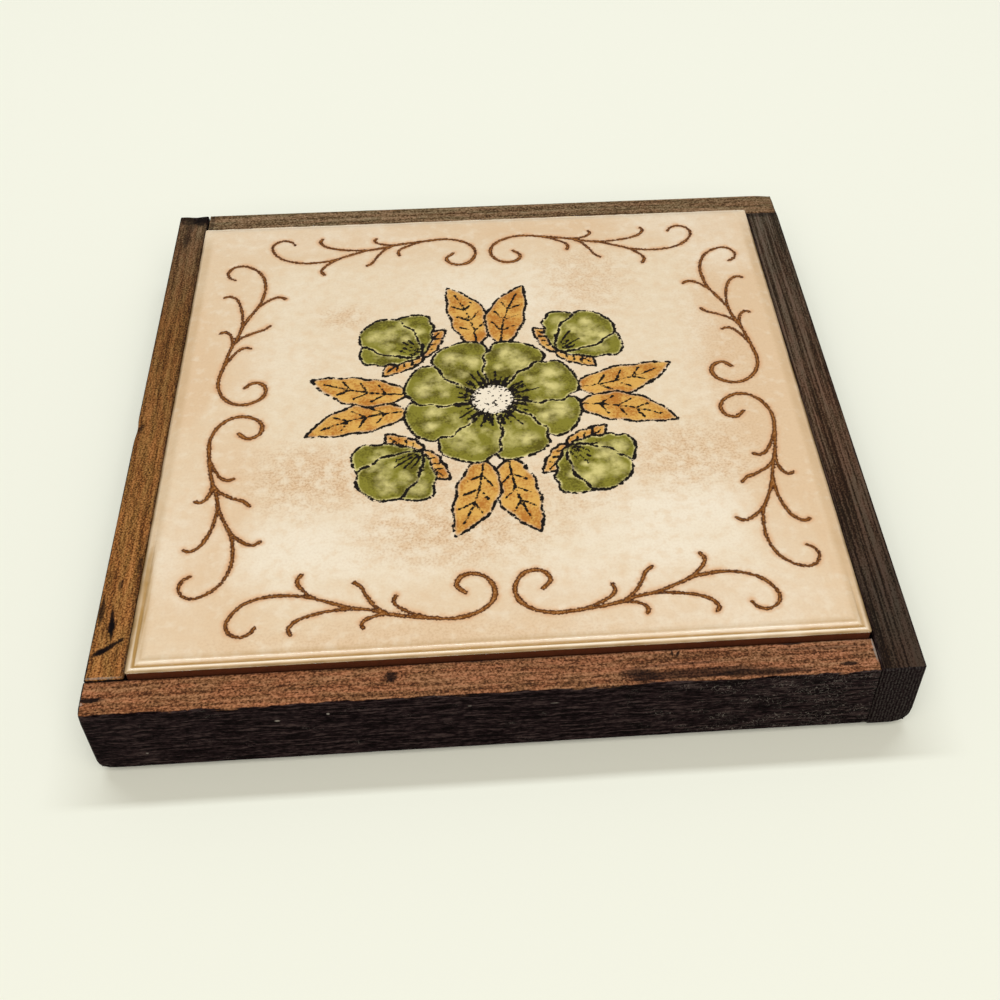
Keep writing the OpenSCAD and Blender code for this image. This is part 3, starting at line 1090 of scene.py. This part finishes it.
# Width of the long streaks in each rail's upper face, in millimetres, and how strongly they show
RAIL_STREAKS = {"front": (1.1, 0.72), "left": (1.1, 0.72), "back": (1.1, 0.72), "right": (0.62, 1.7)}
# Widths of the dark bands along a rail's outer and inner upper edges, in millimetres: the outer one is stain
# left on the edge, the inner one is stain with painted shade beside the tile
RAIL_BANDS = {"front": (0.25, 0.7), "left": (0.4, 0.8), "back": (0.35, 0.3), "right": (0.7, 1.0)}
# Dark knocks and other dark marks on the rails' tops: place and reach along and across in millimetres, turn
# in degrees, strength
RAIL_MARKS = {
    "front": (
        ((61.6, 5.3), (1.3, 1.3), 0, 0.9),
        ((112, 2.4), (4, 1.5), -8, 0.8),
        ((124, 1.9), (12, 1.3), 2, 0.75),
        ((136, 1.3), (10, 0.9), 0, 0.75),
        ((120, 4.4), (9, 0.35), 1, 0.5),
        ((150, 6.5), (9, 0.4), 0, 0.4),
        ((154.8, 2.2), (1.7, 0.5), 0, 0.9),
        ((143.6, 8.1), (2.6, 0.5), 0, 0.9),
        ((2.2, 3.8), (2.6, 0.6), 0, 0.95),
        ((120.1, 7.0), (0.3, 0.8), -25, 0.9),
        ((119, 7.2), (0.25, 0.7), 0, 0.9),
    ),
    "left": (
        ((0.6, 4), (3.2, 6), 0, 0.8),
        ((2, 6.2), (3, 2), 0, 0.85),
        ((11.5, 3), (3, 1), 0, 0.65),
        ((6, 3.5), (2.5, 1.2), 0, 0.5),
        ((153.5, 3.7), (3.6, 0.6), 127, 0.95),
        ((154.6, 2.2), (1.4, 0.8), 120, 0.9),
        ((147.3, 3.5), (4.4, 0.45), 6, 0.95),
        ((148, 3.5), (1.8, 0.75), 0, 0.95),
        ((136.8, 3.8), (1.5, 0.5), 0, 0.7),
        ((131.4, 7.0), (2.4, 0.5), 0, 0.7),
        ((144.0, 0.9), (3.5, 0.6), 0, 0.8),
    ),
    # The back and right rails' marks are dark bands across their ends, where they meet the next rail
    "back": (((161, 4), (0.6, 5), 0, 0.5),),
    "right": (((160.5, 5), (1, 5), 0, 0.5),),
}
# Dents and worn corners in millimetres: rail, place along, across and up from its lower edge, depth and reach
RAIL_DENTS = (
    ("front", (2.0, 3.8, 19.4), 0.35, 1.4),
    ("front", (61.6, 5.3, 19.4), 0.15, 1.2),
    ("front", (154.8, 2.2, 19.4), 0.15, 1.2),
    ("front", (112.0, 0.0, 19.4), 0.3, 3.0),
    ("front", (0.0, 0.0, 0.0), 0.8, 1.5),
    ("front", (0.0, 0.0, 19.4), 0.3, 1.5),
    ("left", (1.0, 4.5, 19.4), 0.3, 1.6),
    ("left", (148.0, 3.5, 19.4), 0.25, 1.2),
    ("left", (153.5, 3.4, 19.4), 0.25, 1.3),
    ("left", (88.0, 0.0, 19.4), 0.3, 2.5),
    ("back", (0.0, 0.0, 19.4), 0.35, 3.0),
    ("back", (0.0, 6.0, 19.4), 0.2, 3.5),
    ("right", (0.0, 0.0, 0.0), 1.1, 2.0),
    ("right", (161.0, 0.0, 0.0), 0.5, 2.0),
)
# Pale chips and rubbed ends, and one painted highlight: rail, place along, across and up and reach in
# millimetres, and strength
RAIL_CHIPS_AND_HIGHLIGHT = (
    ("front", (0.5, 2.9, 21.0), (0.3, 0.4, 0.5), 0.5),
    ("front", (160.75, 5.5, 21.0), (0.3, 3.2, 0.5), 0.6),
    ("front", (10.9, 0.0, 6.8), (0.25, 1.0, 0.2), 0.45),
    ("front", (38.5, 0.0, 15.6), (0.5, 1.0, 0.25), 0.6),
    ("front", (48.8, 0.0, 17.0), (0.3, 1.0, 0.3), 0.6),
    ("front", (77.2, 0.0, 16.9), (0.4, 1.0, 0.15), 0.4),
    ("front", (94.4, 0.0, 16.2), (0.8, 1.0, 0.12), 0.4),
    # The left rail's end at the front joint: a rubbed edge with a painted highlight along it
    ("left", (161.15, 3.0, 21.0), (0.2, 4.0, 0.5), 0.4),
)


# Where a rail is cut besides its slices: in slice steps along it, and in shares of its width and height
END_CUTS = (0.35, 0.7)
WIDTH_SHARES = (0.05, 0.12, 0.26, 0.42, 0.58, 0.74, 0.88)
HEIGHT_SHARES = (0.04, 0.09, 0.14, 0.24, 0.6, 0.82, 0.94)
# Heights between which the brads' holes lie, which nothing wears, in shares of a rail's height
HOLE_SHARES = (0.24, 0.42)
# Distances in millimetres over which the wear changes along, across and up a rail, and along its small bites
WEAR_SPANS = (5, 3, 4)
BITE_SPAN = 1.3
# How slanted the normal of a point on an edge is: where wear begins and is full
SLANT_SHARES = (0.01, 0.2)


def rail_turn(side):
    """Turn that brings the rail of a side to the front."""
    return Matrix.Rotation(math.pi / 2 * side, 4, "Z")


def rail_mesh(rails, side):
    """A rail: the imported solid, cut into short slices and worn along its edges."""
    name = SIDES[side] + "_rail"
    mesh = bmesh.new()
    mesh.from_mesh(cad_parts[name].data)
    bmesh.ops.remove_doubles(mesh, verts=mesh.verts, dist=TOUCH)
    bmesh.ops.transform(mesh, matrix=rail_turn(side), verts=mesh.verts)
    low = Vector([min(vert.co[axis] for vert in mesh.verts) for axis in range(3)])
    high = Vector([max(vert.co[axis] for vert in mesh.verts) for axis in range(3)])
    size = high - low
    slices = [place * rails.slice_step for place in (*END_CUTS, *range(1, int(size.x / rails.slice_step)))]
    cuts = (slices, [share * size.y for share in WIDTH_SHARES], [share * size.z for share in HEIGHT_SHARES])
    for axis, places in enumerate(cuts):
        normal = Matrix.Identity(3)[axis]
        for place in places:
            geometry = [*mesh.verts, *mesh.edges, *mesh.faces]
            bmesh.ops.bisect_plane(mesh, geom=geometry, plane_co=low + normal * place, plane_no=normal)
    mesh.normal_update()
    moves = []
    for vert in mesh.verts:
        local = (vert.co - low) / MM
        along, _, height = local
        in_hole = HOLE_SHARES[0] < height * MM / size.z < HOLE_SHARES[1]
        slant = 1 - max(abs(part) for part in vert.normal)
        lengthwise, sideways, upwards = (part / span for part, span in zip(local, WEAR_SPANS))
        bite = 0.5 + noise.noise(Vector((lengthwise, side * 9, upwards + sideways)))
        bite *= 0.6 + 0.4 * noise.noise(Vector((along / BITE_SPAN, side * 5 + 3, height)))
        depth = 0 if in_hole else rails.arris_wear * smooth(slant, *SLANT_SHARES) * max(bite, 0)
        for rail, middle, dent, reach in RAIL_DENTS:
            if rail == SIDES[side]:
                depth += dent * MM * bell((local - Vector(middle)).length, reach)
        moves.append((vert, vert.normal * depth))
    for vert, move in moves:
        vert.co -= move
    bmesh.ops.transform(mesh, matrix=rail_turn(-side), verts=mesh.verts)
    for face in mesh.faces:
        face.smooth = True
    return mesh


# Sizes of the wood's patterns along, across and up, in millimetres: worn tops, then stained sides
STREAK_LENGTH = 40
FIBRE = (2.6, 0.45, 0.45)
GRANULE = (0.46, 0.4, 0.4)
TINT = (8, 1.5, 1.5)
BLOT = (6, 2.2, 2.2)
WAVE = (9, 3, 4)
RIDGE = (10, 0.75, 0.58)
FUZZ = (1.3, 0.45, 0.42)
CURL = (1.1, 0.8, 0.8)
HANDLED = (7, 3, 3)
# How far the waves bend the ridges upwards, and where along a rail handling has scratched it more
WAVE_HEIGHT = 2.2
HANDLED_SPAN = (90, 145)
# What the worn wood's red, green and blue are multiplied by: two tints, then its light grain and its pores
MULTIPLIED = {"data_type": "RGBA", "blend_type": "MULTIPLY"}
TINT_SHARES = ((0.95, 1.02, 0.99), (1.07, 0.98, 0.95))
GRAIN_SHARES = ((1.95, 2.2, 2.75), (0.27, 0.22, 0.18))
# How deep a mark reaches, in millimetres, and how ragged and soft the edges of marks and chips are
MARK_DEPTH, MARK_RAGS, MARK_SOFTNESS = 3, 0.7, 0.35
CHIP_RAGS, CHIP_SOFTNESS = 0.6, 0.4
# In millimetres: where the stain ends below the top, where it begins beside the outer face, and how thick the
# end grain's layer is
STAIN_SPAN = (0.55, 0.25)
OUTER_START = 0.1
END_SPAN = (0.45, 0.3)


def worn_wood(add, place, name, along_share, seed):
    """Bare brown wood of the upper faces: long streaks, short fibres, and pores that keep their stain."""
    bare = add("ValToRGB", along_share, stops=[(share, linear(code)) for share, code in RAIL_LOOKS[name]])
    width, strength = RAIL_STREAKS[name]
    streaks = grain(add, place, (STREAK_LENGTH, width, width), seed, 3)
    streaks = add("Math", streaks, 0.5, operation="SUBTRACT")
    fibres = grain(add, place, FIBRE, seed + 1, 3)
    granules = grain(add, place, GRANULE, seed + 2, 3)
    tone = add("Math", fibres, 0.5, operation="MULTIPLY")
    tone = add("Math", streaks, strength, tone, operation="MULTIPLY_ADD")
    tone = add("Math", granules, 1.28, tone, operation="MULTIPLY_ADD")
    hue = add("MapRange", grain(add, place, TINT, seed + 3, 4), 0.4, 0.6)
    tinted = [add("Mix", 1, bare, shares, **MULTIPLIED) for shares in TINT_SHARES]
    bare = add("Mix", hue, *tinted, data_type="RGBA")
    lights, pores = (add("Mix", 1, bare, shares, **MULTIPLIED) for shares in GRAIN_SHARES)
    bare = add("Mix", add("MapRange", tone, 0.89, 1.1), bare, lights, data_type="RGBA")
    return add("Mix", add("MapRange", tone, 0.89, 0.7), bare, pores, data_type="RGBA"), fibres, granules


def stained_wood(add, place, rails, seed):
    """Near-black stain on the side faces: wavy ridges of raised grain, rubbed grey, and dark hollows."""
    wave = grain(add, place, WAVE, seed, 2, "Color")
    bent = add("VectorMath", wave, (0, 0, WAVE_HEIGHT), place, operation="MULTIPLY_ADD")
    ridges = grain(add, bent, RIDGE, seed + 1, 3)
    fuzz = grain(add, place, FUZZ, seed + 2, 3)
    tone = add("Math", fuzz, 0.7, ridges, operation="MULTIPLY_ADD")
    dark = add("Mix", add("MapRange", tone, 0.76, 0.88), rails.deep_stain, rails.stain, data_type="RGBA")
    dark = add("Mix", add("MapRange", tone, 0.88, 1.06, 0, 0.75), dark, rails.dusty_stain, data_type="RGBA")
    # Fine curled scratches, thickest towards the ends, where the face was handled
    curls = add("Math", grain(add, place, CURL, seed + 3, 1), 0.5, operation="SUBTRACT")
    curls = add("MapRange", add("Math", curls, operation="ABSOLUTE"), 0.02, 0.004)
    along = add("SeparateXYZ", place)
    handled = add("MapRange", along, *HANDLED_SPAN, 0, 0.2)
    handled = add("Math", grain(add, place, HANDLED, seed + 5, 3), handled, operation="ADD")
    handled = add("MapRange", handled, 0.6, 0.78, 0, 0.36)
    scratched = add("Math", curls, handled, operation="MULTIPLY")
    dark = add("Mix", scratched, dark, rails.scratch, data_type="RGBA")
    return dark, tone


def end_wood(add, place, rails, seed):
    """End grain: fine upright growth rings across the cut end, under grey dust."""
    named = {"Scale": 0.47, "Distortion": 3, "Detail": 2, "Detail Scale": 1.2}
    rings = add("TexWave", place, bands_direction="Y", named=named, output="Fac")
    dust = grain(add, place, 0.5, seed + 1, 3)
    tone = add("Math", rings, 0.2, dust, operation="MULTIPLY_ADD")
    dark = add("Mix", add("MapRange", tone, 0.46, 0.58), rails.deep_stain, rails.stain, data_type="RGBA")
    dusty = add("MapRange", tone, 0.58, 0.78, 0, 0.8)
    return add("Mix", dusty, dark, times(rails.scratch, 0.12), data_type="RGBA")


def wood_material(rails, side):
    """Stained oak, sawn and handled: near-black in the grain, worn to brown on the upper face."""
    name = SIDES[side]
    low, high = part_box(name + "_rail")
    size = sorted(high.xy - low.xy)
    across_whole, along_whole = size[0] / MM, size[1] / MM
    top = high.z / MM
    material, add, shader, place = new_material("stained_wood_" + name)
    halves = CAD_BOX[1].xy if side % 2 == 0 else CAD_BOX[1].yx
    place = add("Mapping", place, (*halves / MM, 0), (0, 0, math.pi / 2 * side), (1, 1, 1))
    along, across, height = add("SeparateXYZ", place).node.outputs
    seed = 20 + side * 13
    share = add("Math", along, along_whole, operation="DIVIDE")
    bare, fibres, granules = worn_wood(add, place, name, share, seed)
    dark, ridges = stained_wood(add, place, rails, seed + 4)
    # Where the stain is gone: the upper face, up to its edges and round its knocks
    blots = add("Math", grain(add, place, BLOT, seed + 7, 4), 0.5, operation="SUBTRACT")
    ragged = add("Math", blots, 1.4, height, operation="MULTIPLY_ADD")
    span = [top - drop for drop in STAIN_SPAN]
    bare_unshaded = add("MapRange", ragged, *span, interpolation_type="SMOOTHSTEP")
    outer_band, inner_shade_band = RAIL_BANDS[name]
    outer = add("Math", blots, 1.2, across, operation="MULTIPLY_ADD")
    bare_unshaded = add("Math", bare_unshaded, add("MapRange", outer, OUTER_START, outer_band), operation="MULTIPLY")
    for number, (centre, reach, turn, strength) in enumerate(RAIL_MARKS[name]):
        reach = (*reach, MARK_DEPTH)
        mark = patch(add, place, (*centre, top), reach, turn, MARK_RAGS, seed + number, MARK_SOFTNESS)
        mark = add("Math", mark, strength, operation="MULTIPLY")
        bare = add("Mix", mark, bare, rails.deep_stain, data_type="RGBA")
    # Painted shade: along the inner edge, where the rail meets the tile, the bare wood fades back to stain,
    # partly stain left in the edge and partly the shade beside the tile
    inner_shade = add("Math", blots, 0.8, across, operation="MULTIPLY_ADD")
    inner_shade = add("MapRange", inner_shade, across_whole - inner_shade_band, across_whole, 1, 0.2)
    bare_unshaded = add("Math", bare_unshaded, inner_shade, operation="MULTIPLY")
    base = add("Mix", bare_unshaded, dark, bare, data_type="RGBA")
    end = end_wood(add, place, rails, seed + 8)
    base = add("Mix", add("MapRange", along, *END_SPAN), base, end, data_type="RGBA")
    for rail, centre, reach, strength in RAIL_CHIPS_AND_HIGHLIGHT:
        if rail == name:
            chip_and_highlight = patch(add, place, centre, reach, 0, CHIP_RAGS, seed, CHIP_SOFTNESS)
            chip_and_highlight = add("Math", chip_and_highlight, strength, operation="MULTIPLY")
            base = add("Mix", chip_and_highlight, base, rails.scratch, data_type="RGBA")
    lumps = add("Math", add("Math", ridges, granules, operation="ADD"), fibres, operation="ADD")
    bump = add("Bump", named={"Strength": 0.7, "Distance": RELIEFS["wood"], "Height": lumps})
    rough = add("MapRange", granules, 0.3, 0.7, 0.5, 0.75)
    # The stain is dead matt, and handling has left a faint sheen on the bare wood
    sheen = add("MapRange", bare_unshaded, 0, 1, 0.02, 0.08)
    shader(Base_Color=base, Roughness=rough, Normal=bump, Specular_IOR_Level=sheen)
    return material


class TRIVET_OT_rails(bpy.types.Operator):
    """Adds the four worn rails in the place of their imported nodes"""

    bl_idname = "trivet.rails"
    bl_label = "Wood rails"

    def execute(self, context):
        """Builds and stains each rail."""
        rails = context.scene.trivet_rails
        for side, name in enumerate(SIDES):
            made = piece(rail_mesh(rails, side), "worn_" + name + "_rail", "stained_wood", name + "_rail")
            made.data.set_sharp_from_angle(angle=SHARP_ANGLE)
            made.data.materials.append(wood_material(rails, side))
        return {"FINISHED"}


# Sizes of the veneer's warp, figure and fibres along, across and up, and how far the warp bends the figure,
# in millimetres
VENEER_WARP = (60, 25, 60)
VENEER_FIGURE = (90, 3.5, 12)
VENEER_FIBRE = (12, 0.5, 0.5)
WARP_REACH = 14
# Sizes of the adhesive's pits and of the oxide on the brads, in millimetres
PIT = 0.9
OXIDE_SPOT = 1.2


def board_material(board):
    """Birch plywood, sanded: long pale grain on the faces."""
    material, add, shader, place = new_material("birch_plywood")
    warp = grain(add, place, VENEER_WARP, 2, 2, output="Color")
    bent = add("VectorMath", warp, (0, WARP_REACH, 0), place, operation="MULTIPLY_ADD")
    figure = grain(add, bent, VENEER_FIGURE, 4, 4)
    fibres = grain(add, place, VENEER_FIBRE, 6, 3)
    base = add("Mix", add("MapRange", figure, 0.4, 0.66), board.veneer, board.late_wood, data_type="RGBA")
    base = add("Mix", add("MapRange", fibres, 0.5, 0.3, 0, 0.45), base, board.late_wood, data_type="RGBA")
    bump = add("Bump", named={"Strength": 0.5, "Distance": RELIEFS["veneer"], "Height": fibres})
    shader(Base_Color=base, Roughness=0.75, Normal=bump, Specular_IOR_Level=0.3)
    return material


def adhesive_material(board):
    """Dried tile mastic, trowelled: matt and putty grey with fine pits."""
    material, add, shader, place = new_material("tile_mastic")
    pits = grain(add, place, PIT, 3, 4)
    full = add("MapRange", pits, 0.35, 0.6)
    base = add("Mix", full, times(board.adhesive, 0.6), board.adhesive, data_type="RGBA")
    bump = add("Bump", named={"Strength": 0.7, "Distance": RELIEFS["mastic"], "Height": pits})
    shader(Base_Color=base, Roughness=0.85, Normal=bump)
    return material


def brad_material(board):
    """Mild steel wire, drawn: grey metal with fine lines along it and a little dull oxide."""
    material, add, shader, place = new_material("drawn_steel")
    oxide = grain(add, place, OXIDE_SPOT, 3, 4)
    dull = add("MapRange", oxide, 0.45, 0.7)
    base = add("Mix", dull, board.steel, times(board.steel, 0.45), data_type="RGBA")
    rough = add("MapRange", oxide, 0.3, 0.7, 0.3, 0.6)
    shader(Base_Color=base, Roughness=rough, Metallic=1.0)
    return material


def filler_material(rails):
    """Wood filler, stained and rubbed flush: as dark as the rails, with the stain brushed over it."""
    material, add, shader, place = new_material("stained_filler")
    base, lumps = stained_wood(add, place, rails, 3)
    bump = add("Bump", named={"Strength": 0.6, "Distance": RELIEFS["filler"], "Height": lumps})
    shader(Base_Color=base, Roughness=0.65, Normal=bump, Specular_IOR_Level=0.02)
    return material


class TRIVET_OT_board(bpy.types.Operator):
    """Finishes the board, the adhesive, the brads and their filler"""

    bl_idname = "trivet.board"
    bl_label = "Board and fixings"

    def execute(self, context):
        """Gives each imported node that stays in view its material."""
        board = context.scene.trivet_board
        dress("base_board", board_material(board))
        dress("tile_adhesive", adhesive_material(board))
        dress("rail_brads", brad_material(board))
        dress("brad_fillers", filler_material(context.scene.trivet_rails))
        return {"FINISHED"}


# Size of a cork granule in millimetres, and sides of a foot's disc
CORK_GRANULE = 1 / 0.9
FOOT_SIDES = 72
# How unevenly a foot's side was punched: the share of the radius it may lack, and over what distance
PUNCH_SHARE = 0.02
PUNCH_SPAN = 0.9 * MM


def cork_material(feet):
    """Pressed cork, punched: light brown granules with dark gaps between them."""
    material, add, shader, place = new_material("pressed_cork")
    named = {"Scale": 1 / CORK_GRANULE}
    granules = add("TexVoronoi", place, named=named, output="Color")
    gaps = add("TexVoronoi", place, named=named, feature="DISTANCE_TO_EDGE")
    tone = add("SeparateXYZ", granules)
    base = add("Mix", add("MapRange", tone, 0, 1, 0, 0.6), feet.cork, feet.dark_cork, data_type="RGBA")
    base = add("Mix", add("MapRange", gaps, 0.1, 0.02), base, feet.dark_cork, data_type="RGBA")
    bump = add("Bump", named={"Strength": 0.8, "Distance": RELIEFS["cork"], "Height": gaps})
    shader(Base_Color=base, Roughness=0.9, Normal=bump, Specular_IOR_Level=0.2)
    return material


def foot_mesh(feet, corner):
    """One cork foot: a punched disc with softened edges and a slightly uneven side."""
    low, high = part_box("foot_" + corner)
    mesh = bmesh.new()
    radius = (high.x - low.x) / 2
    disc = {"radius1": radius, "radius2": radius, "depth": high.z - low.z}
    bmesh.ops.create_cone(mesh, cap_ends=True, segments=FOOT_SIDES, **disc)
    rims = [edge for edge in mesh.edges if abs(edge.verts[0].co.z - edge.verts[1].co.z) < TOUCH]
    bmesh.ops.bevel(mesh, geom=rims, offset=feet.edge, affect="EDGES", segments=3, profile=0.5, material=-1)
    bmesh.ops.translate(mesh, verts=mesh.verts, vec=(low + high) / 2)
    for vert in mesh.verts:
        middle = Vector((*((low + high) / 2).xy, vert.co.z))
        bite = 0.5 + 0.5 * noise.noise(vert.co / PUNCH_SPAN)
        vert.co = vert.co.lerp(middle, PUNCH_SHARE * bite)
    for face in mesh.faces:
        face.smooth = True
    return mesh


class TRIVET_OT_feet(bpy.types.Operator):
    """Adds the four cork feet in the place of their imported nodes"""

    bl_idname = "trivet.feet"
    bl_label = "Cork feet"

    def execute(self, context):
        """Builds each foot."""
        feet = context.scene.trivet_feet
        cork = cork_material(feet)
        for corner in CORNERS:
            made = piece(foot_mesh(feet, corner), "cork_foot_" + corner, "cork", "foot_" + corner)
            made.data.set_sharp_from_angle(angle=SHARP_ANGLE)
            made.data.materials.append(cork)
        return {"FINISHED"}


# Where the camera stands and the point on the table that it faces
CAMERA_PLACE = Vector((-3.602, -238.888, 239.1)) * MM
CAMERA_AIM = Vector((14.559, -9.664, 0)) * MM
# Painted light on the floor: where it is at its darkest and its palest, in millimetres from front to back,
# and those two shades
FLOOR_LIGHT_FADE = (-150, 300)
FLOOR_LIGHT_SHARES = (0.96, 1.04)


def floor_material(stage):
    """Matt painted board of a pale colour, with painted light: a trace darker towards the front and paler
    towards the back.
    """
    material, add, shader, place = new_material("painted_floor")
    back = add("SeparateXYZ", place).node.outputs[1]
    # Painted light: the floor's colour is shaded from darker at the front to paler at the back
    near = add("MapRange", back, *FLOOR_LIGHT_FADE, interpolation_type="SMOOTHSTEP")
    base = add("Mix", near, *(times(stage.floor_colour, share) for share in FLOOR_LIGHT_SHARES), data_type="RGBA")
    shader(Base_Color=base, Roughness=0.9, Specular_IOR_Level=0.1)
    return material


def add_lamp(name, stage, kind, height, heading):
    """Adds a rectangular lamp that faces the object from an angle above the horizon, behind or before it."""
    lamp = bpy.data.objects.new(name, bpy.data.lights.new(name, "AREA"))
    lamp.data.shape = "RECTANGLE"
    lamp.data.energy = getattr(stage, kind + "_power")
    lamp.data.size = getattr(stage, kind + "_length")
    lamp.data.size_y = getattr(stage, kind + "_width")
    lamp.data.color = getattr(stage, kind + "_colour")
    place = Vector((0, heading * math.cos(height), math.sin(height))) * stage.lamp_distance
    lamp.location = place
    lamp.rotation_euler = (-place).to_track_quat("-Z", "Y").to_euler()
    bpy.context.scene.collection.objects.link(lamp)


class TRIVET_OT_stage(bpy.types.Operator):
    """Adds the floor, the lights and the camera"""

    bl_idname = "trivet.stage"
    bl_label = "Studio"

    def execute(self, context):
        """Builds the studio and sets the scene's camera."""
        stage = context.scene.trivet_stage
        scene = context.scene
        mesh = bmesh.new()
        bmesh.ops.create_grid(mesh, x_segments=1, y_segments=1, size=stage.floor_side / 2)
        data = bpy.data.meshes.new("floor")
        mesh.to_mesh(data)
        mesh.free()
        data.materials.append(floor_material(stage))
        floor = bpy.data.objects.new("floor", data)
        scene.collection.objects.link(floor)
        floor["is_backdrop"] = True

        world = bpy.data.worlds.new("soft_room")
        world.use_nodes = True
        background = world.node_tree.nodes["Background"].inputs
        background["Color"].default_value = (*stage.soft_colour, 1)
        background["Strength"].default_value = stage.room
        scene.world = world
        add_lamp("strip_lamp", stage, "strip", stage.strip_height, 1)
        add_lamp("soft_lamp", stage, "soft", stage.soft_height, -1)

        camera = bpy.data.objects.new("camera", bpy.data.cameras.new("camera"))
        camera.data.lens = stage.lens
        camera.data.shift_x = stage.shift_right
        camera.data.shift_y = stage.shift_up
        camera.data.clip_start = 10 * MM
        facing = (CAMERA_AIM - CAMERA_PLACE).to_track_quat("-Z", "Y")
        camera.rotation_mode = "QUATERNION"
        camera.rotation_quaternion = facing @ Quaternion((0, 0, 1), stage.roll)
        camera.location = CAMERA_PLACE
        scene.collection.objects.link(camera)
        scene.camera = camera
        scene.view_settings.view_transform = "Standard"
        return {"FINISHED"}


OPERATORS = (TRIVET_OT_stage, TRIVET_OT_tile, TRIVET_OT_rails, TRIVET_OT_board, TRIVET_OT_feet)


class TRIVET_PT_panel(bpy.types.Panel):
    """Lists the trivet's pieces with their settings"""

    bl_idname = "TRIVET_PT_panel"
    bl_label = "Tile trivet"
    bl_space_type = "VIEW_3D"
    bl_region_type = "UI"
    bl_category = "Trivet"

    def draw(self, context):
        """Draws a button for each operator, then every setting."""
        for operator in OPERATORS:
            self.layout.operator(operator.bl_idname)
        for name in SETTINGS:
            settings = getattr(context.scene, name)
            box = self.layout.box()
            for setting in settings.bl_rna.properties.keys():
                if setting not in ("rna_type", "name"):
                    box.prop(settings, setting)


CLASSES = (*SETTINGS.values(), *OPERATORS, TRIVET_PT_panel)


def register():
    """Registers the classes and hangs the settings on the scene."""
    for each in CLASSES:
        bpy.utils.register_class(each)
    for name, group in SETTINGS.items():
        setattr(bpy.types.Scene, name, PointerProperty(type=group))


def unregister():
    """Takes away what register added."""
    for name in SETTINGS:
        delattr(bpy.types.Scene, name)
    for each in reversed(CLASSES):
        bpy.utils.unregister_class(each)


def main():
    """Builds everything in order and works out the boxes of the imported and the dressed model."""
    register()
    for operator in OPERATORS:
        group, name = operator.bl_idname.split(".")
        getattr(getattr(bpy.ops, group), name)()
    boxes = {"cad": CAD_BOX, "visual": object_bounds()}
    {name: [list(corner) for corner in box] for name, box in boxes.items()}


if __name__ == "__main__":
    main()
